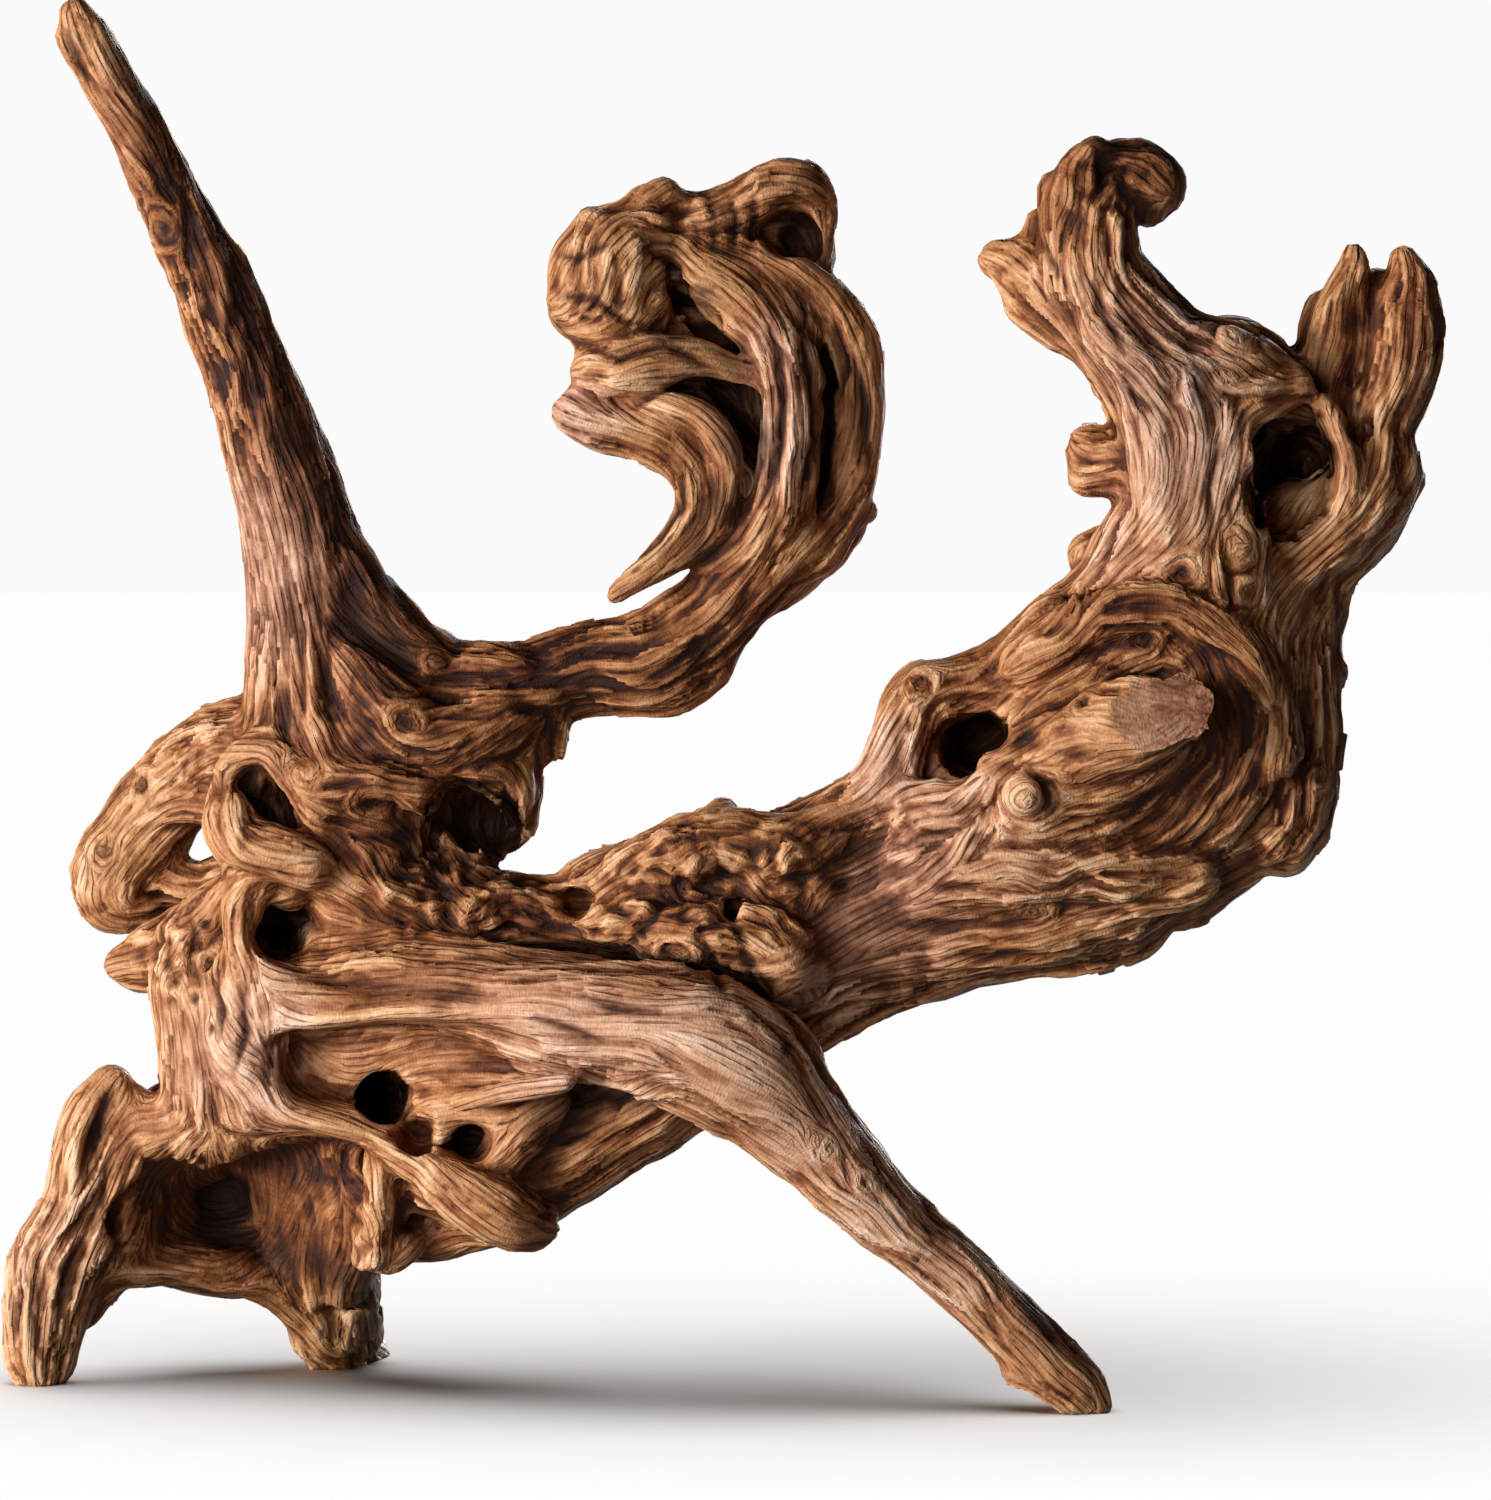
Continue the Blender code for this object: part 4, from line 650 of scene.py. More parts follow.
# Tints and painted shading are (across, up, reach, pinkness, lightness): tan where the pinkness is negative.
# The lightness is partly the wood's own tone and partly painted light and shade: the spike's right side, the
# cave and the trunk under the bar are painted dark as shade, the lower branch lighter on its lower side and
# darker on its upper side, and the pocket's floor painted lit.
TINTS_AND_PAINTED_SHADING = [
    (-207, 400, 18, 1.5, 0.8), (-196, 365, 20, 1.5, 0.8), (-181, 325, 22, 1.4, 0.7),
    (-166, 285, 22, 1.3, 0.5), (-146, 250, 24, 1.1, 0.1), (-60, 110, 24, 0.8, 0.3),
    (-30, 110, 24, 0.8, 0.4), (-4, 104, 22, 0.7, 0.3), (-90, 120, 18, 0.5, 0.0), (18, 88, 20, 0.7, 0.2),
    (42, 66, 20, 0.6, 0.1), (66, 40, 20, 0.4, 0.0), (132, 280, 18, 1.0, 0.7), (124, 310, 18, 1.0, 0.3),
    (106, 330, 18, 0.7, 0.2), (112, 256, 16, 0.7, 0.6), (40, 150, 22, 0.9, -0.6),
    (52, 146, 14, 0.6, -0.8), (28, 140, 12, 0.6, -0.8), (26, 132, 16, 0.9, -0.2), (84, 160, 18, 0.5, 0.3),
    (66, 178, 14, 0.5, 0.2), (44, 190, 12, 0.9, 0.2), (130, 206, 12, 0.6, -0.7),
    (104, 200, 12, 0.2, -0.3), (12, 290, 14, 0.8, 0.0), (10, 318, 14, 0.8, -0.1),
    (-50, 296, 10, 1.2, -0.3), (-26, 312, 16, 0.1, 0.5), (-38, 342, 20, -0.2, 0.0),
    (-184, 172, 18, -0.5, 0.0), (-126, 25, 20, -0.6, 0.1), (-168, 105, 24, 0.2, 0.4),
    (-205, 40, 24, 0.1, 0.6), (-92, 180, 30, -0.1, -0.5), (-5, 158, 28, -0.2, -0.3),
    (-10, 228, 24, -0.1, -0.4), (120, 365, 18, -0.2, -1.2), (98, 360, 16, 0.0, -0.9),
    (160, 200, 22, 0.1, -0.3), (176, 275, 20, 0.0, 0.1), (-183, 388, 9, 0.3, -2.2),
    (-174, 370, 9, 0.3, -2.2), (-165, 350, 10, 0.3, -2.2), (-154, 330, 11, 0.3, -2.2),
    (-145, 310, 12, 0.3, -2.2), (-136, 290, 13, 0.3, -2.2), (-126, 268, 14, 0.3, -2.2),
    (-116, 246, 15, 0.2, -2.4), (-108, 228, 14, 0.2, -1.8), (-134, 268, 9, 0.3, -1.6),
    (30, 90, 9, 0.3, -1.0), (48, 72, 9, 0.3, -1.0), (68, 50, 9, 0.3, -1.0), (88, 26, 9, 0.3, -1.0),
    (16, 76, 9, 0.8, 0.4), (36, 55, 9, 0.7, 0.4), (56, 35, 9, 0.6, 0.4), (40, 300, 10, 0.0, -0.5),
    (25, 230, 16, -0.1, -0.8), (-15, 212, 12, -0.1, -0.8), (120, 362, 10, 0.0, -1.0),
    (205, 325, 12, 0.0, -0.9), (-104, 206, 24, -0.1, -0.8), (170, 273, 11, -0.3, 3.0),
    (-40, 90, 10, 0.1, -1.2), (-60, 70, 14, 0.1, -0.8), (-148, 52, 20, -0.2, -1.0),
    (-128, 64, 20, 0.0, -1.3), (-132, 46, 14, 0.0, -1.8), (-150, 74, 14, 0.0, -1.4),
    (-150, 100, 16, 1.0, 0.6), (-166, 104, 14, 0.8, 0.4), (-142, 118, 12, 0.8, 0.4),
    (-154, 58, 16, -0.2, -2.2), (-176, 60, 16, -0.1, -1.6), (-112, 42, 6, 0.2, 0.6),
    (-50, 222, 18, -0.1, -1.6), (-25, 222, 18, -0.1, -1.6), (0, 236, 14, -0.1, -1.2),
    (-70, 205, 16, -0.1, -1.4), (-84, 190, 18, -0.1, -1.6), (-110, 190, 16, -0.1, -1.4),
    (-98, 168, 16, -0.1, -1.4), (-70, 150, 16, -0.1, -1.0), (-120, 214, 14, 0.2, -1.2),
    (-212, 30, 16, 0.2, 0.9), (-204, 60, 16, 0.1, 0.8), (-196, 88, 14, -0.1, 0.3),
    (-192, 84, 6, 0.0, -2.0), (118, 232, 14, 0.0, -1.2), (146, 205, 14, 0.0, -1.4),
    (128, 180, 14, -0.1, -1.2), (100, 232, 14, 0.2, -0.6), (172, 262, 12, 0.0, 0.5),
    (164, 240, 16, 0.1, 0.7), (186, 320, 12, 0.0, -0.4), (-126, 148, 14, 0.1, 0.2),
    (-88, 124, 10, 0.1, -0.8), (-62, 128, 12, 0.1, -0.8), (-30, 126, 12, 0.1, -0.6),
    (30, 262, 12, 0.0, -1.2), (-10, 335, 12, -0.5, -0.6), (10, 158, 16, -0.2, -0.8),
    (-20, 150, 14, -0.1, -0.4),
]

# Places painted with shade, where hollows and gaps lie in shadow, are (across, up, reach).
PAINTED_SHADE_SPOTS = [
    (-82, 176, 24), (-157, 60, 15), (-140, 140, 9), (-146, 184, 9), (-83, 77, 7), (-108, 91, 9),
    (156, 286, 8), (172, 304, 5), (64, 195, 14), (12, 350, 9), (-6, 302, 9), (-3, 288, 7), (-6, 268, 7),
    (-14, 254, 7), (3, 282, 5), (-14, 330, 7), (-22, 318, 6), (23, 290, 3.5), (24, 306, 3.5),
    (-18, 332, 5), (-50, 88, 8), (-114, 30, 11), (-110, 18, 6), (120, 356, 6), (-103, 54, 8),
    (-138, 44, 9), (-128, 42, 9), (-121, 37, 12), (-114, 32, 12), (-108, 34, 9), (-112, 24, 9),
    (-109, 15.5, 8), (14, 350, 12), (22, 345, 7), (-60, 84, 7),
]


def eye():
    back, rise = VIEW_DISTANCE * math.cos(VIEW_TILT), VIEW_DISTANCE * math.sin(VIEW_TILT)
    return Vector((0, -back, VIEW_HEIGHT + rise))


def drawn(across, up):
    rise = up - VIEW_HEIGHT
    return Vector((across, rise * math.sin(VIEW_TILT), VIEW_HEIGHT + rise * math.cos(VIEW_TILT)))


def place(across, up, depth):
    """The world point, in millimetres, of a point of the front elevation, and its growth in size there."""
    spot = drawn(across, up)
    growth = (depth - eye().y) / (spot.y - eye().y)
    return eye() + growth * (spot - eye()) - Vector((*MIDDLE, 0)), growth


def elevation(points):
    """Where points in millimetres appear on the front elevation: across and up."""
    start = np.array(eye())
    toward = np.array((0, -math.cos(VIEW_TILT), math.sin(VIEW_TILT)))
    ways = points + (*MIDDLE, 0) - start
    far = ((0, 0, VIEW_HEIGHT) - start) @ toward / (ways @ toward)
    spots = start + far[:, None] * ways
    return np.column_stack((spots[:, 0], VIEW_HEIGHT + (spots[:, 2] - VIEW_HEIGHT) / math.cos(VIEW_TILT)))


def link(name, data, collection):
    obj = bpy.data.objects.new(name, data)
    collection.objects.link(obj)
    return obj


def applied(obj):
    """The object with its modifiers turned into its mesh."""
    graph = bpy.context.evaluated_depsgraph_get()
    mesh = bpy.data.meshes.new_from_object(obj.evaluated_get(graph))
    obj.modifiers.clear()
    old, obj.data = obj.data, mesh
    bpy.data.meshes.remove(old)
    return obj


def stem(name, points, collection, skin):
    """A round stem as a closed mesh: a Bezier curve with a bevel, thick and thin along its points."""
    curve = bpy.data.curves.new(name, "CURVE")
    curve.dimensions = "3D"
    curve.bevel_depth = MM
    curve.bevel_resolution = 4
    curve.resolution_u = 8
    curve.use_fill_caps = True
    spline = curve.splines.new("BEZIER")
    spline.bezier_points.add(len(points) - 1)
    for knot, (across, up, depth, radius) in zip(spline.bezier_points, points):
        centre, growth = place(across, up, depth)
        knot.co = centre * MM
        knot.radius = (radius + skin) * growth
        knot.handle_left_type = knot.handle_right_type = "AUTO"
    obj = link(name, curve, collection)
    graph = bpy.context.evaluated_depsgraph_get()
    mesh = bpy.data.meshes.new_from_object(obj.evaluated_get(graph))
    bpy.data.objects.remove(obj)
    return mesh


def end_balls(name, points, skin):
    """Round caps for a strand's two ends."""
    balls = []
    for across, up, depth, radius in (points[0], points[-1]):
        centre, growth = place(across, up, depth)
        ball = bmesh.new()
        size = (radius + skin) * growth * MM
        bmesh.ops.create_icosphere(ball, subdivisions=3, radius=size, matrix=Matrix.Translation(centre * MM))
        mesh = bpy.data.meshes.new(name)
        ball.to_mesh(mesh)
        ball.free()
        balls.append(mesh)
    return balls


def bundle(name, strands, collection, skin):
    """All strands of a dictionary fused into one closed skin."""
    joined = bmesh.new()
    for label, points in strands.items():
        for mesh in [stem(label, points, collection, skin), *end_balls(label, points, skin)]:
            joined.from_mesh(mesh)
            bpy.data.meshes.remove(mesh)
    bmesh.ops.remove_doubles(joined, verts=joined.verts, dist=1e-6)
    mesh = bpy.data.meshes.new(name)
    joined.to_mesh(mesh)
    joined.free()
    obj = link(name, mesh, collection)
    remesh(obj)
    return obj


def remesh(obj):
    fuse = obj.modifiers.new("fuse", "REMESH")
    fuse.mode = "VOXEL"
    fuse.voxel_size = VOXEL * MM


def smooth(obj, factor, times):
    modifier = obj.modifiers.new("smooth", "SMOOTH")
    modifier.factor = factor
    modifier.iterations = times


def cut(obj, cutter, name):
    modifier = obj.modifiers.new(name, "BOOLEAN")
    modifier.operation = "DIFFERENCE"
    modifier.object = cutter
    modifier.solver = "MANIFOLD"


def block(name, size, matrix, collection):
    """A box whose top face lies on the matrix's own XY plane."""
    box = bmesh.new()
    bmesh.ops.create_cube(box, size=1.0)
    mesh = bpy.data.meshes.new(name)
    box.to_mesh(mesh)
    box.free()
    mesh.transform(Matrix.Translation((0, 0, -0.5)))
    mesh.transform(Matrix.Diagonal((*size, 1)))
    mesh.transform(matrix)
    return link(name, mesh, collection)


def sawn_plane():
    """The stub's sawn face: its middle in millimetres and its outward direction."""
    return place(*SAWN_FACE)[0], Vector(SAWN_SLOPE).normalized()


def grow(collection):
    """The root's skin before any relief."""
    grown = {name: points for group in (*GROWN, FILLED) for name, points in group.items()}
    root = bundle("root", grown, collection, SKIN)
    smooth(root, 0.5, 7)
    applied(root)
    hollows = applied(bundle("hollows", CARVED, collection, 0.0))
    cut(root, hollows, "hollow_out")
    applied(root)
    add_lining(root, collection)
    remesh(root)
    smooth(root, 0.5, 5)
    applied(root)
    bpy.data.objects.remove(hollows)
    melt(root)
    press_dishes(root)
    return root


def add_lining(root, collection):
    """Lays the lining's strands into the carved skin, for the next remesh to fuse."""
    lining = applied(bundle("lining", LINED, collection, 0.0))
    joined = bmesh.new()
    joined.from_mesh(root.data)
    joined.from_mesh(lining.data)
    joined.to_mesh(root.data)
    joined.free()
    bpy.data.objects.remove(lining)


def inside(spots, outline):
    """How far inside a closed outline each flat spot lies, negative outside."""
    crossed = np.zeros(len(spots), bool)
    nearest = np.full(len(spots), np.inf)
    for start, end in zip(outline, outline[1:] + outline[:1]):
        step = np.subtract(end, start)
        offset = spots - start
        share = np.clip(offset @ step / (step @ step), 0, 1)
        nearest = np.minimum(nearest, np.linalg.norm(offset - share[:, None] * step, axis=1))
        between = (start[1] > spots[:, 1]) != (end[1] > spots[:, 1])
        edge = start[0] + step[0] * (spots[:, 1] - start[1]) / (step[1] or 1e-9)
        crossed ^= between & (spots[:, 0] < edge)
    return np.where(crossed, nearest, -nearest)


def melt(root):
    """Lets the strands flow into one another in the melted zones."""
    skin = Skin(root.data)
    share = zone(skin, Surface(root), MELTED)[:, None]
    share = share * share * (3 - 2 * share)
    moved = skin.points + share * (skin.spread(skin.points, MELT_ROUNDS) - skin.points)
    root.data.vertices.foreach_set("co", (moved * MM).ravel().astype(np.float32))
    root.data.update()


def press_dishes(root):
    """Presses the smooth hollows into the skin that faces the viewer."""
    away = np.array((0, math.cos(VIEW_TILT), -math.sin(VIEW_TILT)))
    for depth, slope, outline in DISHES:
        skin, surface = Skin(root.data), Surface(root)
        spots = elevation(skin.points)
        within = inside(spots, outline)
        middle = surface.spot(*np.mean(outline, axis=0))[0]
        reach = np.ptp(outline, axis=0).max() / 2 + 12
        near = np.linalg.norm(skin.points - middle, axis=1) < reach
        near &= (skin.normals @ away < -0.1) & (within > 0)
        share = np.clip(within / slope, 0, 1)
        share = share * share * (3 - 2 * share) * near
        moved = skin.points + depth * share[:, None] * away
        root.data.vertices.foreach_set("co", (moved * MM).ravel().astype(np.float32))
        root.data.update()


def trim(root, collection):
    """Levels the feet and saws the stub off."""
    middle, slope = sawn_plane()
    turn = (-slope).to_track_quat("Z", "Y").to_matrix().to_4x4()
    blocks = [
        block("ground", GROUND_BLOCK, Matrix.Identity(4), collection),
        block("saw", SAW_BLOCK, Matrix.Translation(middle * MM) @ turn, collection),
    ]
    for one in blocks:
        cut(root, one, one.name)
    applied(root)
    for one in blocks:
        bpy.data.objects.remove(one)


# Noise in millimetres.


def hashed(cells, seed):
    """A repeatable number from 0 to 1 for each cell of a grid."""
    mixed = seed * HASH_SEED
    for column, step in zip(cells.T, HASH_STEPS):
        mixed = mixed ^ column * step
    mixed = (mixed ^ (mixed >> 13)) * HASH_MIXES[0]
    mixed = (mixed ^ (mixed >> 16)) * HASH_MIXES[1]
    return ((mixed ^ (mixed >> 15)) & 0xFFFFFF) / 0x1000000


def noise(points, size, seed):
    """Smooth noise from -1 to 1, whose bumps are about this size across."""
    spots = points / size
    cell = np.floor(spots).astype(np.int64)
    part = spots - cell
    part = part * part * (3 - 2 * part)
    total = np.zeros(len(points))
    for corner in np.ndindex(2, 2, 2):
        weight = np.prod(np.where(corner, part, 1 - part), axis=1)
        total += weight * hashed(cell + corner, seed)
    return 2 * total - 1


def layers(points, kinds):
    """Several kinds of noise added up."""
    return sum(strength * noise(points, size, seed) for strength, size, seed in kinds)


def warts(points, size, seed):
    """Round bumps on a random grid, 0 between them and 1 on top."""
    spots = points / size
    cell = np.floor(spots).astype(np.int64)
    nearest = np.ones(len(points))
    for corner in np.ndindex(3, 3, 3):
        home = cell + corner - 1
        middle = home + np.column_stack([hashed(home, seed + i) for i in range(3)])
        nearest = np.minimum(nearest, ((spots - middle) ** 2).sum(axis=1) * 2.6)
    return np.clip(1 - nearest, 0, 1)


class Skin:
    """A mesh as arrays: places in millimetres, outward directions, and which points are joined."""

    def __init__(self, mesh):
        self.count = len(mesh.vertices)
        self.points = np.empty(self.count * 3, np.float32)
        mesh.vertices.foreach_get("co", self.points)
        self.points = self.points.reshape(-1, 3).astype(float) / MM
        self.normals = np.empty(self.count * 3, np.float32)
        mesh.vertex_normals.foreach_get("vector", self.normals)
        self.normals = self.normals.reshape(-1, 3).astype(float)
        self.edges = np.empty(len(mesh.edges) * 2, np.int32)
        mesh.edges.foreach_get("vertices", self.edges)
        self.edges = self.edges.reshape(-1, 2)

    def spread(self, values, times, weights=None, keep=0.4):
        """Averages a value over joined points, again and again."""
        if values.ndim > 1:
            return np.column_stack([self.spread(column, times, weights, keep) for column in values.T])
        first, second = self.edges.T
        weights = np.ones(len(first)) if weights is None else weights
        total = np.bincount(first, weights, self.count) + np.bincount(second, weights, self.count)
        total = np.maximum(total, 1e-9)
        for _ in range(times):
            nearby = np.bincount(first, weights * values[second], self.count)
            nearby += np.bincount(second, weights * values[first], self.count)
            values = keep * values + (1 - keep) * nearby / total
        return values

    def streaks(self, flow, width, length, random):
        """Noise drawn out along the grain, with an average of 0 and a spread of 1."""
        values = self.spread(random.normal(size=self.count), width)
        steps = self.points[self.edges[:, 1]] - self.points[self.edges[:, 0]]
        steps /= np.linalg.norm(steps, axis=1)[:, None] + 1e-9
        lined_up = np.zeros(len(steps))
        for side in self.edges.T:
            lined_up += (steps * flow[side]).sum(axis=1) ** 2 / 2
        values = self.spread(values, length, weights=lined_up**4 + 1e-5, keep=0.2)
        values = values - self.spread(values, 30)
        return np.clip(values / values.std(), -2.2, 2.2)

    def joined_turns(self, flow, wave):
        """How far lines along the grain turn from one end of each edge to the other, and with which sign."""
        across = np.cross(self.normals, flow)
        first, second = self.edges.T
        step = self.points[second] - self.points[first]
        sign = np.where((across[first] * across[second]).sum(axis=1) < 0, -1.0, 1.0)
        turn = math.pi / wave * ((across[first] + sign[:, None] * across[second]) * step).sum(axis=1)
        return sign, turn

    def lines(self, flow, wave, rounds, start):
        """Evenly spaced lines along the grain: a complex number at each point, once round per line."""
        sign, turn = self.joined_turns(flow, wave)
        first, second = self.edges.T
        ahead = np.exp(1j * turn)
        back = np.conj(ahead)
        flipped = sign < 0
        field = start
        for step in range(rounds):
            there = field[second]
            there[flipped] = np.conj(there[flipped])
            there *= back
            here = field[first] * ahead
            here[flipped] = np.conj(here[flipped])
            real = np.bincount(first, there.real, self.count)
            real += np.bincount(second, here.real, self.count)
            imaginary = np.bincount(first, there.imag, self.count)
            imaginary += np.bincount(second, here.imag, self.count)
            field = 0.25 * field + 0.125 * (real + 1j * imaginary)
            if step % 5 == 4:
                field /= np.abs(field) ** 0.5 + 1e-9
        return field / (np.abs(field) + 1e-9)


# The grain.


def smooth_path(points, steps=5):
    """A strand's centre line and radii in millimetres, with more points on a curve between the given ones."""
    spots = np.array([[*place(*point[:3])[0], point[3]] for point in points])
    ends = np.vstack((2 * spots[0] - spots[1], spots, 2 * spots[-1] - spots[-2]))
    line = []
    for before, start, end, after in zip(ends, ends[1:], ends[2:], ends[3:]):
        slope = end - before
        bend = 2 * before - 5 * start + 4 * end - after
        twist = 3 * (start - end) + after - before
        for t in np.arange(steps) / steps:
            line.append(start + t / 2 * (slope + t * (bend + t * twist)))
    line.append(spots[-1])
    return np.array(line)


def closest(points, line):
    """For each point its distance to a line, which way the line runs there, and how far along that is."""
    best = np.full(len(points), np.inf)
    way = np.zeros((len(points), 3))
    share = np.zeros(len(points))
    for i, (start, end) in enumerate(zip(line[:, :3], line[1:, :3])):
        step = end - start
        length = max(np.linalg.norm(step), 1e-6)
        step = step / length
        offset = points - start
        along = np.clip(offset @ step, 0, length)
        distance = np.linalg.norm(offset - along[:, None] * step, axis=1)
        nearer = distance < best
        best[nearer] = distance[nearer]
        way[nearer] = step
        share[nearer] = (i + along[nearer] / length) / (len(line) - 1)
    return best, way, share


def near_line(points, line, reach):
    low, high = line[:, :3].min(axis=0) - reach, line[:, :3].max(axis=0) + reach
    return np.flatnonzero(((points > low) & (points < high)).all(axis=1))


def add_direction(tensor, rows, way, weight):
    """Adds a direction to the six sums that hold each point's favoured direction."""
    for column, (i, j) in enumerate(((0, 0), (1, 1), (2, 2), (0, 1), (0, 2), (1, 2))):
        tensor[rows, column] += weight * way[:, i] * way[:, j]


def favoured(tensor, normals):
    """The favoured direction at each point, laid flat on the skin."""
    full = np.zeros((len(tensor), 3, 3))
    for column, (i, j) in enumerate(((0, 0), (1, 1), (2, 2), (0, 1), (0, 2), (1, 2))):
        full[:, i, j] = full[:, j, i] = tensor[:, column]
    flat = np.eye(3) - normals[:, :, None] * normals[:, None, :]
    full = flat @ full @ flat
    way = np.linalg.eigh(full)[1][:, :, 2]
    way -= normals * (way * normals).sum(axis=1)[:, None]
    return way / (np.linalg.norm(way, axis=1)[:, None] + 1e-9)


class Surface:
    """Finds where on the skin a point of the front elevation lies."""

    def __init__(self, root):
        self.tree = BVHTree.FromObject(root, bpy.context.evaluated_depsgraph_get())
        self.start = (eye() - Vector((*MIDDLE, 0))) * MM

    def spot(self, across, up):
        """The place and outward direction of the skin there, or None beside it."""
        way = (drawn(across, up) - eye()).normalized()
        place_there, normal, _, _ = self.tree.ray_cast(self.start, way)
        return (np.array(place_there) / MM, np.array(normal)) if place_there else None

    def line(self, path, step=2.0):
        """A path of the front elevation laid on the skin."""
        found = []
        for start, end in zip(np.array(path), np.array(path)[1:]):
            count = max(int(np.linalg.norm(end - start) / step), 1)
            for share in np.arange(count) / count:
                found.append(self.spot(*(start + share * (end - start))))
        found.append(self.spot(*path[-1]))
        return np.array([spot[0] for spot in found if spot])


def grain(skin, surface):
    """The grain's direction at each point of the skin, and the thickness of the limb there."""
    tensor = np.zeros((skin.count, 6))
    girth = np.zeros(skin.count)
    shares = np.zeros(skin.count)
    for group in (*GROWN, FILLED, LINED):
        for points in group.values():
            line = smooth_path(points)
            rows = near_line(skin.points, line, line[:, 3].max() + 8)
            if not len(rows):
                continue
            distance, way, share = closest(skin.points[rows], line)
            radius = np.interp(share, np.linspace(0, 1, len(line)), line[:, 3])
            weight = np.exp(-np.maximum(distance - radius, 0) / 2.0)
            add_direction(tensor, rows, way, weight)
            girth[rows] += weight * radius
            shares[rows] += weight
    tensor = skin.spread(tensor, 4)
    for reach, path in STROKES:
        line = surface.line(path)
        if len(line) < 2:
            continue
        rows = near_line(skin.points, line, reach)
        distance, way, _ = closest(skin.points[rows], line)
        weight = STROKE_WEIGHT * np.clip(1 - (distance / reach) ** 2, 0, 1) ** 2
        add_direction(tensor, rows, way, weight)
    tensor = skin.spread(tensor, 6)
    for middle, _, radius, _ in skin_knots(skin, surface):
        offset = skin.points - middle
        distance = np.linalg.norm(offset, axis=1)
        rows = np.flatnonzero(distance < 2.8 * radius)
        ring = np.cross(skin.normals[rows], offset[rows])
        ring /= np.linalg.norm(ring, axis=1)[:, None] + 1e-6
        outside = np.maximum(distance[rows] - 1.2 * radius, 0) / radius
        weight = RING_WEIGHT * np.exp(-((outside / 0.45) ** 2)) * (outside < 1.2)
        add_direction(tensor, rows, ring, weight)
    tensor = skin.spread(tensor, 2)
    flow = favoured(tensor, skin.normals)
    turn = layers(skin.points, GRAIN_TURNS)
    turn += zone(skin, surface, WILD) * layers(skin.points, WILD_TURNS)
    turn += WARTY_TURN * zone(skin, surface, WARTY) * noise(skin.points, 6, 25)
    turn = turn[:, None]
    flow = np.cos(turn) * flow + np.sin(turn) * np.cross(skin.normals, flow)
    return flow, skin.spread(girth / np.maximum(shares, 1e-6), 6)


def skin_knots(skin, surface):
    """Every knot as (middle, outward direction, radius, height): the chosen ones and some on the back."""
    found = []
    for across, up, radius, height in KNOTS:
        spot = surface.spot(across, up)
        if spot:
            found.append((*spot, radius, height))
    random = np.random.default_rng(11)
    for row in random.choice(skin.count, 170, replace=False):
        if skin.normals[row, 1] < 0.2:
            continue
        if all(np.linalg.norm(skin.points[row] - other[0]) > KNOT_SPACING for other in found):
            radius = random.uniform(2.6, 6.5)
            found.append((skin.points[row], skin.normals[row], radius, random.choice((-1.8, 0.9, 1.2))))
    return found


# Relief.


def zone(skin, surface, spots):
    """How far each point lies inside a few round zones, from 0 to 1."""
    share = np.zeros(skin.count)
    for across, up, reach in spots:
        spot = surface.spot(across, up)
        if spot:
            distance = np.linalg.norm(skin.points - spot[0], axis=1)
            share = np.maximum(share, np.clip(1.3 - distance / reach, 0, 1))
    return share


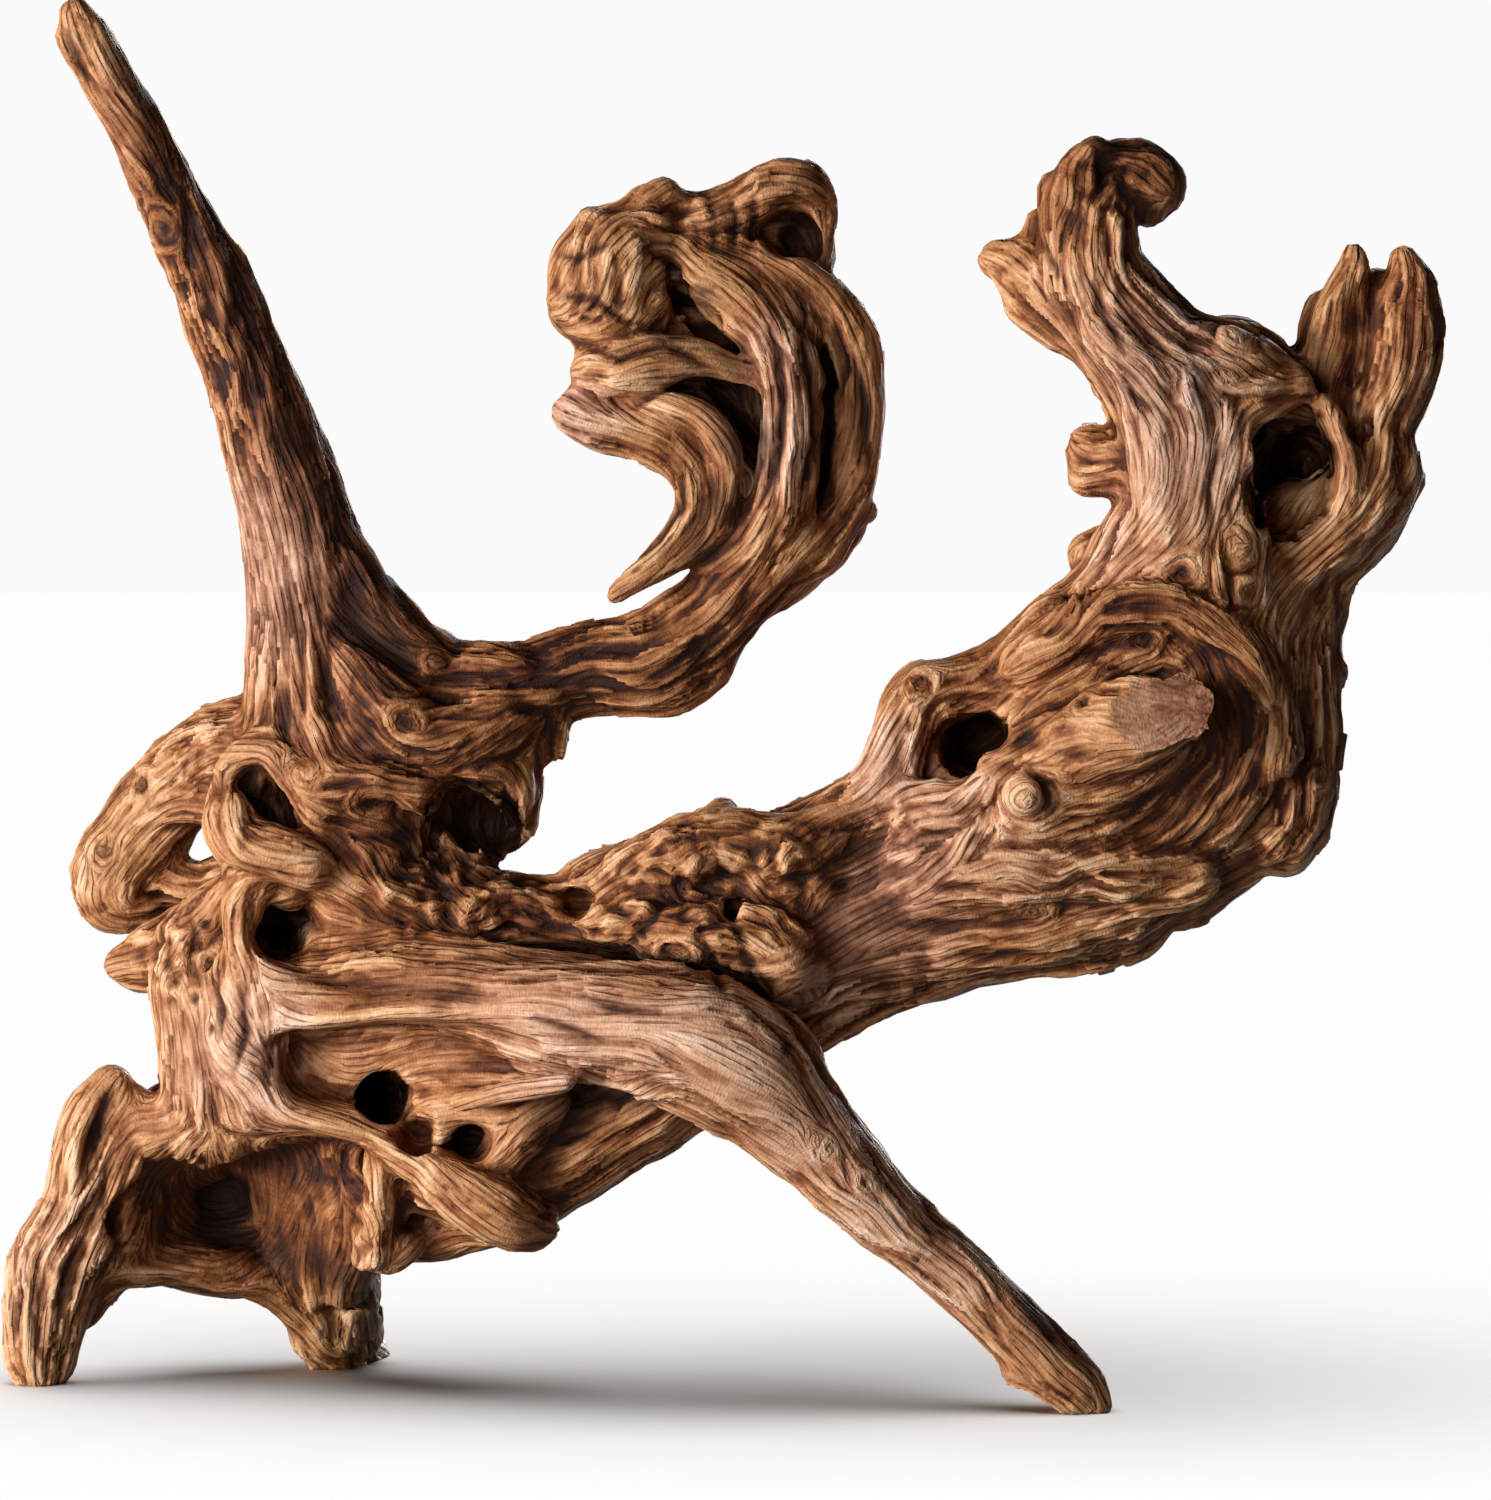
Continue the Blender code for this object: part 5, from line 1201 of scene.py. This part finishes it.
def relief(skin, surface, flow, girth):
    """How far each point stands out in millimetres, the painted shade in its hollows, gaps, sunken cracks and
    knot pits, its furrows, and how smooth it is.
    """
    random = np.random.default_rng(4)
    smooth_there = zone(skin, surface, SMOOTH)
    bold = np.clip(girth / 11, 0.3, 1) * (1 - 0.75 * smooth_there)
    height = bold * layers(skin.points, SWELLS)
    for tall, width, length in STREAKS:
        height += bold * tall * skin.streaks(flow, width, length, random)
    start = np.exp(2j * math.pi * random.random(skin.count))
    furrows = skin.lines(flow, WIDE_LINES, LINE_ROUNDS, start)
    depth = 0.45 + 0.9 * noise(skin.points, 13, 31) + 0.30 * skin.streaks(flow, 4, 60, random)
    depth = FURROW_DEPTH * np.clip(depth, 0.05, 1.4) * np.clip(furrows.real, -0.4, 1)
    height += bold * PIT_HEIGHT * noise(skin.points, 3.4, 51)
    height -= depth * np.clip(girth / 9, 0.4, 1) * (1 - 0.8 * smooth_there)
    # Painted shade where hollows and gaps lie in shadow.
    painted_shade = 0.9 * zone(skin, surface, PAINTED_SHADE_SPOTS)
    warty = zone(skin, surface, WARTY)
    height += sum(tall * warty * (warts(skin.points, size, seed) - WART_MIDDLE) for tall, size, seed in WARTS)
    wild = zone(skin, surface, WILD)
    height += wild * layers(skin.points, WILD_BUMPS)
    for middle, _, radius, tall in skin_knots(skin, surface):
        distance = np.linalg.norm(skin.points - middle, axis=1)
        rows = np.flatnonzero(distance < 3 * radius)
        near = distance[rows] / radius
        height[rows] *= 0.35 + 0.65 * np.clip(near - 0.6, 0, 1)
        swell = np.exp(-((near / 1.5) ** 2)) * 0.5 * abs(tall)
        eye_pit = tall * np.exp(-((near / 0.75) ** 2))
        ripple = RIPPLE_HEIGHT * np.cos(2 * math.pi * distance[rows] / RIPPLE) * np.clip(1.9 - near, 0, 1)
        height[rows] += swell + eye_pit + ripple
        # A sunken knot's pit is painted with shade.
        if tall < 0:
            painted_shade[rows] = np.maximum(painted_shade[rows], np.exp(-((near / 0.7) ** 2)))
    for width, depth, path in CRACKS:
        line = surface.line(path, 1.0)
        rows = near_line(skin.points, line, 3 * width)
        distance, _, share = closest(skin.points[rows], line)
        groove = np.exp(-((distance / width) ** 2)) * np.sin(math.pi * np.clip(share, 0.03, 0.97)) ** 0.5
        height[rows] -= depth * groove
        # A sunken crack is painted with shade along its groove.
        painted_shade[rows] = np.maximum(painted_shade[rows], groove * (depth > 0))
    return height, painted_shade, furrows, smooth_there


def push(root, skin, height):
    moved = (skin.points + skin.normals * height[:, None]) * MM
    root.data.vertices.foreach_set("co", moved.ravel().astype(np.float32))
    root.data.update()


def thin_out(root):
    root.data.calc_loop_triangles()
    thin = root.modifiers.new("thin_out", "DECIMATE")
    thin.ratio = min(TRIANGLES / len(root.data.loop_triangles), 1)
    thin.use_collapse_triangulate = True
    applied(root)


def keep_largest(root):
    """Drops any crumb that the cuts left beside the root."""
    mesh = bmesh.new()
    mesh.from_mesh(root.data)
    left = set(mesh.verts)
    bodies = []
    while left:
        body, front = set(), [left.pop()]
        while front:
            vert = front.pop()
            body.add(vert)
            for edge in vert.link_edges:
                other = edge.other_vert(vert)
                if other in left:
                    left.discard(other)
                    front.append(other)
        bodies.append(body)
    largest = max(bodies, key=len)
    crumbs = [vert for body in bodies if body is not largest for vert in body]
    bmesh.ops.delete(mesh, geom=crumbs, context="VERTS")
    mesh.to_mesh(root.data)
    mesh.free()


# What the material reads.


def openness(root, skin):
    """How much of the space over each point is open, from 0 in a deep hollow to 1, which the material uses to
    paint shade into the hollows.
    """
    tree = BVHTree.FromObject(root, bpy.context.evaluated_depsgraph_get())
    random = np.random.default_rng(8)
    ways = random.normal(size=(SKY_RAYS, 3))
    ways /= np.linalg.norm(ways, axis=1)[:, None]
    starts = (skin.points + skin.normals * 0.6) * MM
    open_share = np.zeros(skin.count)
    for i in range(skin.count):
        normal, start = skin.normals[i], Vector(starts[i])
        ahead = ways + normal * 1.02
        missed = 0
        for way in ahead:
            if tree.ray_cast(start, Vector(way), SKY_REACH * MM)[0] is None:
                missed += 1
        open_share[i] = missed / SKY_RAYS
    return skin.spread(open_share, 3)


def corner_vectors(mesh, values):
    """A direction for each corner of each face, with the same sign all round a face."""
    corners = np.empty(len(mesh.loops), np.int32)
    mesh.loops.foreach_get("vertex_index", corners)
    rows = values[corners].reshape(-1, 3, 3)
    rows = rows * np.where((rows * rows[:, :1]).sum(axis=2) < 0, -1.0, 1.0)[:, :, None]
    return rows.reshape(-1, 3)


def corner_turns(mesh, skin, flow, wave, field):
    """How far the lines have turned at each corner of each face, in radians, with no jump inside a face."""
    corners = np.empty(len(mesh.loops), np.int32)
    mesh.loops.foreach_get("vertex_index", corners)
    corners = corners.reshape(-1, 3)
    across = np.cross(skin.normals, flow)[corners]
    angle = np.angle(field)[corners]
    turned = angle.copy()
    for k in (1, 2):
        sign = np.where((across[:, 0] * across[:, k]).sum(axis=1) < 0, -1.0, 1.0)
        step = skin.points[corners[:, k]] - skin.points[corners[:, 0]]
        turn = math.pi / wave * ((across[:, 0] + sign[:, None] * across[:, k]) * step).sum(axis=1)
        gap = sign * angle[:, k] - angle[:, 0] - turn
        turned[:, k] = angle[:, 0] + turn + (gap + math.pi) % (2 * math.pi) - math.pi
    return turned


def blended(skin, surface, spots):
    """The pinkness and the lightness of each point, blended from the tints round it: the lightness is partly
    the wood's own tone and partly painted light and shade.
    """
    total = np.full(skin.count, 0.25)
    pink, light = np.zeros(skin.count), np.zeros(skin.count)
    for across, up, reach, pinkness, lightness in spots:
        spot = surface.spot(across, up)
        if spot:
            distance = np.linalg.norm(skin.points - spot[0], axis=1)
            weight = np.exp(-((distance / reach) ** 2) * 1.5)
            total += weight
            pink += weight * pinkness
            light += weight * lightness
    return pink / total, light / total


def store(mesh, name, values, kind="FLOAT", domain="POINT"):
    layer = mesh.attributes.new(name, kind, domain)
    layer.data.foreach_set("value" if kind == "FLOAT" else "vector", np.ravel(values).astype(np.float32))


# The material.

WARM_WOOD = [
    (0.0, (0.024, 0.0045, 0.001)), (0.25, (0.115, 0.031, 0.0075)), (0.5, (0.310, 0.110, 0.036)),
    (0.75, (0.570, 0.268, 0.115)), (1.0, (0.820, 0.490, 0.280)),
]
PINK_WOOD = [
    (0.0, (0.034, 0.0090, 0.0035)), (0.25, (0.155, 0.055, 0.026)), (0.5, (0.390, 0.178, 0.105)),
    (0.75, (0.650, 0.365, 0.240)), (1.0, (0.850, 0.600, 0.470)),
]
TAN_WOOD = [
    (0.0, (0.026, 0.007, 0.001)), (0.25, (0.130, 0.044, 0.010)), (0.5, (0.340, 0.150, 0.050)),
    (0.75, (0.600, 0.320, 0.140)), (1.0, (0.840, 0.550, 0.310)),
]
# Near black painted as shade into hollows, gaps, sunken cracks and knot pits.
PAINTED_SHADE_COLOUR = (0.014, 0.0035, 0.001)
CREASE_WOOD = (0.20, 0.11, 0.075)
# Near black painted as shade into the hollows, the less open the darker.
PAINTED_HOLLOW_SHADE = (0.012, 0.003, 0.001)

# Noise drawn out along the grain is (size, taps, reach, gain), in metres.
BUNDLES = (0.0042, 5, 0.0080, 2.6)
FIBRES = (0.0011, 9, 0.0040, 4.2)
BUMP_DISTANCE = 0.0011
GLOSS = 0.25


class Shader:
    """Short calls for building a node tree."""

    def __init__(self, name):
        self.material = bpy.data.materials.new(name)
        self.material.use_nodes = True
        self.tree = self.material.node_tree
        self.surface = self.tree.nodes["Principled BSDF"]

    def node(self, kind, settings=(), **inputs):
        made = self.tree.nodes.new("ShaderNode" + kind)
        for key, value in dict(settings).items():
            setattr(made, key, value)
        for key, value in inputs.items():
            self.put(value, made.inputs[key.replace("_", " ")])
        return made

    def put(self, value, socket):
        if isinstance(value, bpy.types.NodeSocket):
            self.tree.links.new(value, socket)
        else:
            socket.default_value = value

    def math(self, operation, *values, clamp=False):
        made = self.node("Math", {"operation": operation, "use_clamp": clamp})
        for socket, value in zip(made.inputs, values):
            self.put(value, socket)
        return made.outputs[0]

    def fit(self, value, low, high, start=0.0, end=1.0):
        made = self.node("MapRange", {"interpolation_type": "SMOOTHSTEP"})
        for socket, number in zip(made.inputs, (value, low, high, start, end)):
            self.put(number, socket)
        return made.outputs[0]

    def mix(self, share, first, second, blend="MIX"):
        made = self.node("Mix", {"data_type": "RGBA", "blend_type": blend, "clamp_factor": True})
        self.put(share, made.inputs[0])
        for socket, value in zip(made.inputs[6:8], (first, second)):
            self.put(value if isinstance(value, bpy.types.NodeSocket) else (*value, 1), socket)
        return made.outputs[2]

    def ramp(self, value, stops):
        made = self.node("ValToRGB", Fac=value)
        band = made.color_ramp
        while len(band.elements) < len(stops):
            band.elements.new(0.5)
        for element, (position, colour) in zip(band.elements, stops):
            element.position = position
            element.color = (*colour, 1)
        return made.outputs[0]

    def attribute(self, name, output="Fac"):
        return self.node("Attribute", {"attribute_name": name}).outputs[output]

    def noise(self, where, scale, detail=3.0, rough=0.55):
        made = self.node("TexNoise", Vector=where, Scale=scale, Detail=detail, Roughness=rough)
        return made.outputs[0]

    def drawn_out(self, where, along, size, taps, reach, gain):
        """Noise drawn out along the grain: 0.5 on average and about this size across."""
        total = None
        for step in range(taps):
            shift = self.node("VectorMath", {"operation": "MULTIPLY_ADD"})
            self.put(along, shift.inputs[0])
            shift.inputs[1].default_value = ((2 * step / (taps - 1) - 1) * reach,) * 3
            self.put(where, shift.inputs[2])
            value = self.noise(shift.outputs[0], 1 / size, 0.0)
            total = value if total is None else self.math("ADD", total, value)
        return self.math("MULTIPLY_ADD", total, gain / taps, 0.5 - gain / 2, clamp=True)

    def around(self, value, amount, base):
        """The base with a value's distance from a half added to it."""
        return self.math("MULTIPLY_ADD", self.math("SUBTRACT", value, 0.5), amount, base)


def wood():
    make = Shader("driftwood")
    where = make.node("TexCoord").outputs["Object"]
    along = make.attribute("along", "Vector")
    height = make.attribute("height")
    edge = make.attribute("edge")
    painted_shade = make.attribute("painted_shade")
    light = make.attribute("light")
    pink = make.attribute("pink")
    wide = make.math("COSINE", make.attribute("wide_lines"))
    fine = make.math("COSINE", make.attribute("fine_lines"))
    bundles = make.drawn_out(where, along, *BUNDLES)
    fibres = make.drawn_out(where, along, *FIBRES)
    mottle = make.noise(where, 45.0, 5.0, 0.6)
    broad = make.noise(where, 13.0, 3.0)
    patches = make.noise(where, 70.0, 3.0)
    specks = make.noise(where, 900.0, 3.0, 0.6)

    rough = make.math("SUBTRACT", 1.0, make.attribute("calm"))
    uncut = make.math("SUBTRACT", 1.0, make.attribute("sawn"))
    wide_creases = make.fit(make.around(bundles, 1.2, wide), 0.80, 1.25)
    wide_creases = make.math("MULTIPLY", wide_creases, make.fit(patches, 0.42, 0.62, 0.1, 1.0))
    wide_creases = make.math("MULTIPLY", wide_creases, make.math("MULTIPLY_ADD", rough, 0.7, 0.3))
    fine_creases = make.fit(make.around(patches, -2.8, make.around(fibres, 0.9, fine)), 0.80, 1.40)
    fine_creases = make.math("MULTIPLY", fine_creases, uncut)
    wide_creases = make.math("MULTIPLY", wide_creases, uncut)
    creases = make.math("MAXIMUM", wide_creases, make.math("MULTIPLY", fine_creases, 0.7))

    # Raised points lighter and low ones darker: painted highlight on the raised grain and painted shade in
    # the grooves.
    tone = make.math("MULTIPLY_ADD", height, 0.26, 0.50)
    # The tints' lightness: partly the wood's own tone, partly painted light and shade.
    tone = make.math("MULTIPLY_ADD", light, 0.24, tone)
    # Convex bends lighter and hollow bends darker: partly wear on the ridges, partly painted highlight and
    # painted shade.
    tone = make.math("MULTIPLY_ADD", edge, 0.20, tone)
    tone = make.math("MULTIPLY_ADD", make.math("MULTIPLY", wide, rough), -0.025, tone)
    tone = make.math("MULTIPLY_ADD", fine, -0.02, tone)
    tone = make.around(bundles, 0.24, tone)
    tone = make.around(fibres, 0.24, tone)
    tone = make.around(mottle, 0.60, tone)
    tone = make.around(specks, 0.22, tone)
    tone = make.math("MULTIPLY_ADD", make.attribute("sawn"), -0.06, tone)
    sawn_pink = make.math("MULTIPLY", make.attribute("sawn"), 0.4)
    pinkness = make.around(broad, 0.9, make.math("ADD", pink, sawn_pink))
    warm, pinker = make.ramp(tone, WARM_WOOD), make.ramp(tone, PINK_WOOD)
    colour = make.mix(make.fit(pinkness, 0.0, 0.9), warm, pinker)
    colour = make.mix(make.fit(pinkness, 0.0, -0.8), colour, make.ramp(tone, TAN_WOOD))
    colour = make.mix(creases, colour, CREASE_WOOD, "MULTIPLY")
    # Painted shade: hollows, gaps, sunken cracks and knot pits mixed toward near black.
    colour = make.mix(make.math("MULTIPLY", painted_shade, 0.9), colour, PAINTED_SHADE_COLOUR)
    # Painted shade in hollows: the less open a point is, the darker it is painted; the tints' painted light
    # lifts it.
    open_there = make.math("MULTIPLY_ADD", light, 0.12, make.attribute("openness"))
    hollow_shade_share = make.fit(open_there, 0.05, 0.55, 1.0, 0.0)
    colour = make.mix(make.math("MULTIPLY", hollow_shade_share, 0.88), colour, PAINTED_HOLLOW_SHADE)
    make.put(colour, make.surface.inputs["Base Color"])
    make.put(make.fit(tone, 0.2, 0.9, 0.75, 0.50), make.surface.inputs["Roughness"])
    make.surface.inputs["Specular IOR Level"].default_value = GLOSS

    surface = make.math("MULTIPLY_ADD", make.math("MULTIPLY", wide, rough), -0.10, 0.5)
    surface = make.math("MULTIPLY_ADD", make.math("MULTIPLY", fine, uncut), -0.06, surface)
    surface = make.math("MULTIPLY_ADD", creases, -0.42, surface)
    surface = make.around(fibres, 0.34, surface)
    surface = make.around(specks, 0.10, surface)
    bump = make.node("Bump", Height=surface, Strength=1.0, Distance=BUMP_DISTANCE)
    make.put(bump.outputs[0], make.surface.inputs["Normal"])
    return make.material


# The scene, in metres.

LENS = 144
SENSOR = 36
FLOOR_RADIUS = 14
PAINT = 0.82
SURROUND = 0.96
MIDDLE_HEIGHT = 0.2
OVERHEAD = 3.8
OVERHEAD_SPREAD = math.radians(70)

# Lamps are (name, watts, place, size).
LAMPS = [
    ("key", 168.0, (-2.5, -1.35, 0.12), 0.8),
    ("front", 30.0, (-1.2, -2.2, 0.3), 1.2),
    ("back", 85.0, (0.7, 2.7, 0.8), 1.6),
]


def build_root(collection):
    root = grow(collection)
    skin, surface = Skin(root.data), Surface(root)
    flow, girth = grain(skin, surface)
    height, painted_shade, furrows, smooth_there = relief(skin, surface, flow, girth)
    pink, light = blended(skin, surface, TINTS_AND_PAINTED_SHADING)
    push(root, skin, height)
    kept = KDTree(skin.count)
    for row, spot in enumerate(Skin(root.data).points):
        kept.insert(spot, row)
    kept.balance()
    trim(root, collection)
    thin_out(root)
    keep_largest(root)
    mesh = root.data
    final = Skin(mesh)
    nearest = np.array([kept.find(spot)[1] for spot in final.points])
    way = flow[nearest]
    tensor = np.zeros((final.count, 6))
    add_direction(tensor, np.arange(final.count), way, 1.0)
    way = favoured(final.spread(tensor, 2), final.normals)
    # How far each point bulges out or sinks in: the material paints it partly as wear on the ridges and
    # partly as painted highlight and shade.
    bend = ((final.points - final.spread(final.points, 6)) * final.normals).sum(axis=1)
    store(mesh, "along", corner_vectors(mesh, way), "FLOAT_VECTOR", "CORNER")
    # The relief, painted by the material as shade in the low places and highlight on the raised ones.
    store(mesh, "height", np.clip(height[nearest] / HEIGHT_SPAN, -1, 1))
    # Painted shade for hollows, gaps, sunken cracks and knot pits.
    store(mesh, "painted_shade", final.spread(painted_shade[nearest], 1))
    # How open each point is, for the painted shade in the hollows.
    store(mesh, "openness", openness(root, final))
    store(mesh, "edge", np.clip(bend / BEND_SPAN, -1, 1))
    store(mesh, "calm", smooth_there[nearest])
    store(mesh, "pink", pink[nearest])
    # The lightness: partly the wood's own tone, partly painted light and shade.
    store(mesh, "light", light[nearest])
    sawn = flatten_cuts(mesh)
    store(mesh, "sawn", sawn, "FLOAT", "FACE")
    wide = final.lines(way, WIDE_LINES, 6, furrows[nearest])
    start = np.exp(2j * math.pi * np.random.default_rng(6).random(final.count))
    fine = final.lines(way, FINE_LINES, LINE_ROUNDS, start)
    for name, wave, field in (("wide_lines", WIDE_LINES, wide), ("fine_lines", FINE_LINES, fine)):
        store(mesh, name, corner_turns(mesh, final, way, wave, field), "FLOAT", "CORNER")
    mesh.materials.clear()
    mesh.materials.append(wood())
    return root


def flatten_cuts(mesh):
    """Shades the skin smooth and its sawn faces flat, and tells which faces the stub's saw left."""
    mesh.shade_smooth()
    middle, slope = sawn_plane()
    sawn = np.zeros(len(mesh.polygons))
    for face in mesh.polygons:
        offset = face.center / MM - middle
        if face.normal.dot(slope) > 0.999 and abs(offset.dot(slope)) < 0.3 and offset.length < 26:
            sawn[face.index] = 1.0
        face.use_smooth = not (sawn[face.index] or face.normal.z < -0.9999)
    return sawn


def aim(obj, target):
    obj.rotation_mode = "QUATERNION"
    obj.rotation_quaternion = (Vector(target) - obj.location).to_track_quat("-Z", "Y")


def add_camera(collection):
    """The photograph's view: level with the middle of the root and a little above it."""
    data = bpy.data.cameras.new("camera")
    data.lens = LENS
    data.sensor_width = SENSOR
    data.clip_end = 40
    camera = link("camera", data, collection)
    target = Vector((-MIDDLE[0], -MIDDLE[1], VIEW_HEIGHT)) * MM
    camera.location = target + Vector((0, -math.cos(VIEW_TILT), math.sin(VIEW_TILT))) * VIEW_DISTANCE * MM
    aim(camera, target)
    bpy.context.scene.camera = camera


def add_light(name, kind, energy, place_there, target, collection, **settings):
    data = bpy.data.lights.new(name, kind)
    data.energy = energy
    for key, value in settings.items():
        setattr(data, key, value)
    light = link(name, data, collection)
    light.location = place_there
    aim(light, target)
    return light


def add_studio(collection, wood_only):
    """A pale floor and surround, lamps that light the wood alone, and an even light for the floor."""
    floor = bmesh.new()
    bmesh.ops.create_circle(floor, cap_ends=True, segments=96, radius=FLOOR_RADIUS)
    mesh = bpy.data.meshes.new("floor")
    floor.to_mesh(mesh)
    floor.free()
    paint = bpy.data.materials.new("floor")
    paint.use_nodes = True
    sockets = paint.node_tree.nodes["Principled BSDF"].inputs
    sockets["Base Color"].default_value = (PAINT, PAINT, PAINT, 1)
    sockets["Roughness"].default_value = 0.9
    sockets["Specular IOR Level"].default_value = 0.0
    mesh.materials.append(paint)
    ground = link("floor", mesh, collection)
    ground.visible_diffuse = False
    floor_only = bpy.data.collections.new("floor_only")
    floor_only.objects.link(ground)

    for name, watts, place_there, size in LAMPS:
        lamp = add_light(name, "AREA", watts, place_there, (0, 0, MIDDLE_HEIGHT), collection, size=size)
        lamp.light_linking.receiver_collection = wood_only
        lamp.visible_camera = False
    sun_place = (0, -0.4, 3.0)
    overhead = add_light("overhead", "SUN", OVERHEAD, sun_place, (0, 0, 0), collection, angle=OVERHEAD_SPREAD)
    overhead.light_linking.receiver_collection = floor_only

    world = bpy.data.worlds.new("surround")
    bpy.context.scene.world = world
    world.use_nodes = True
    background = world.node_tree.nodes["Background"]
    background.inputs["Color"].default_value = (1, 1, 1, 1)
    background.inputs["Strength"].default_value = SURROUND
    world.cycles_visibility.diffuse = False
    world.cycles_visibility.glossy = False
    bpy.context.scene.view_settings.view_transform = "Standard"


stage_collection = bpy.context.scene.collection
add_camera(stage_collection)
driftwood = build_root(stage_collection)
driftwood.name = "driftwood_skin"
wood_only = bpy.data.collections.new("wood_only")
wood_only.objects.link(driftwood)
add_studio(stage_collection, wood_only)
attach(driftwood, "root")
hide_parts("driftwood")

bpy.context.view_layer.update()
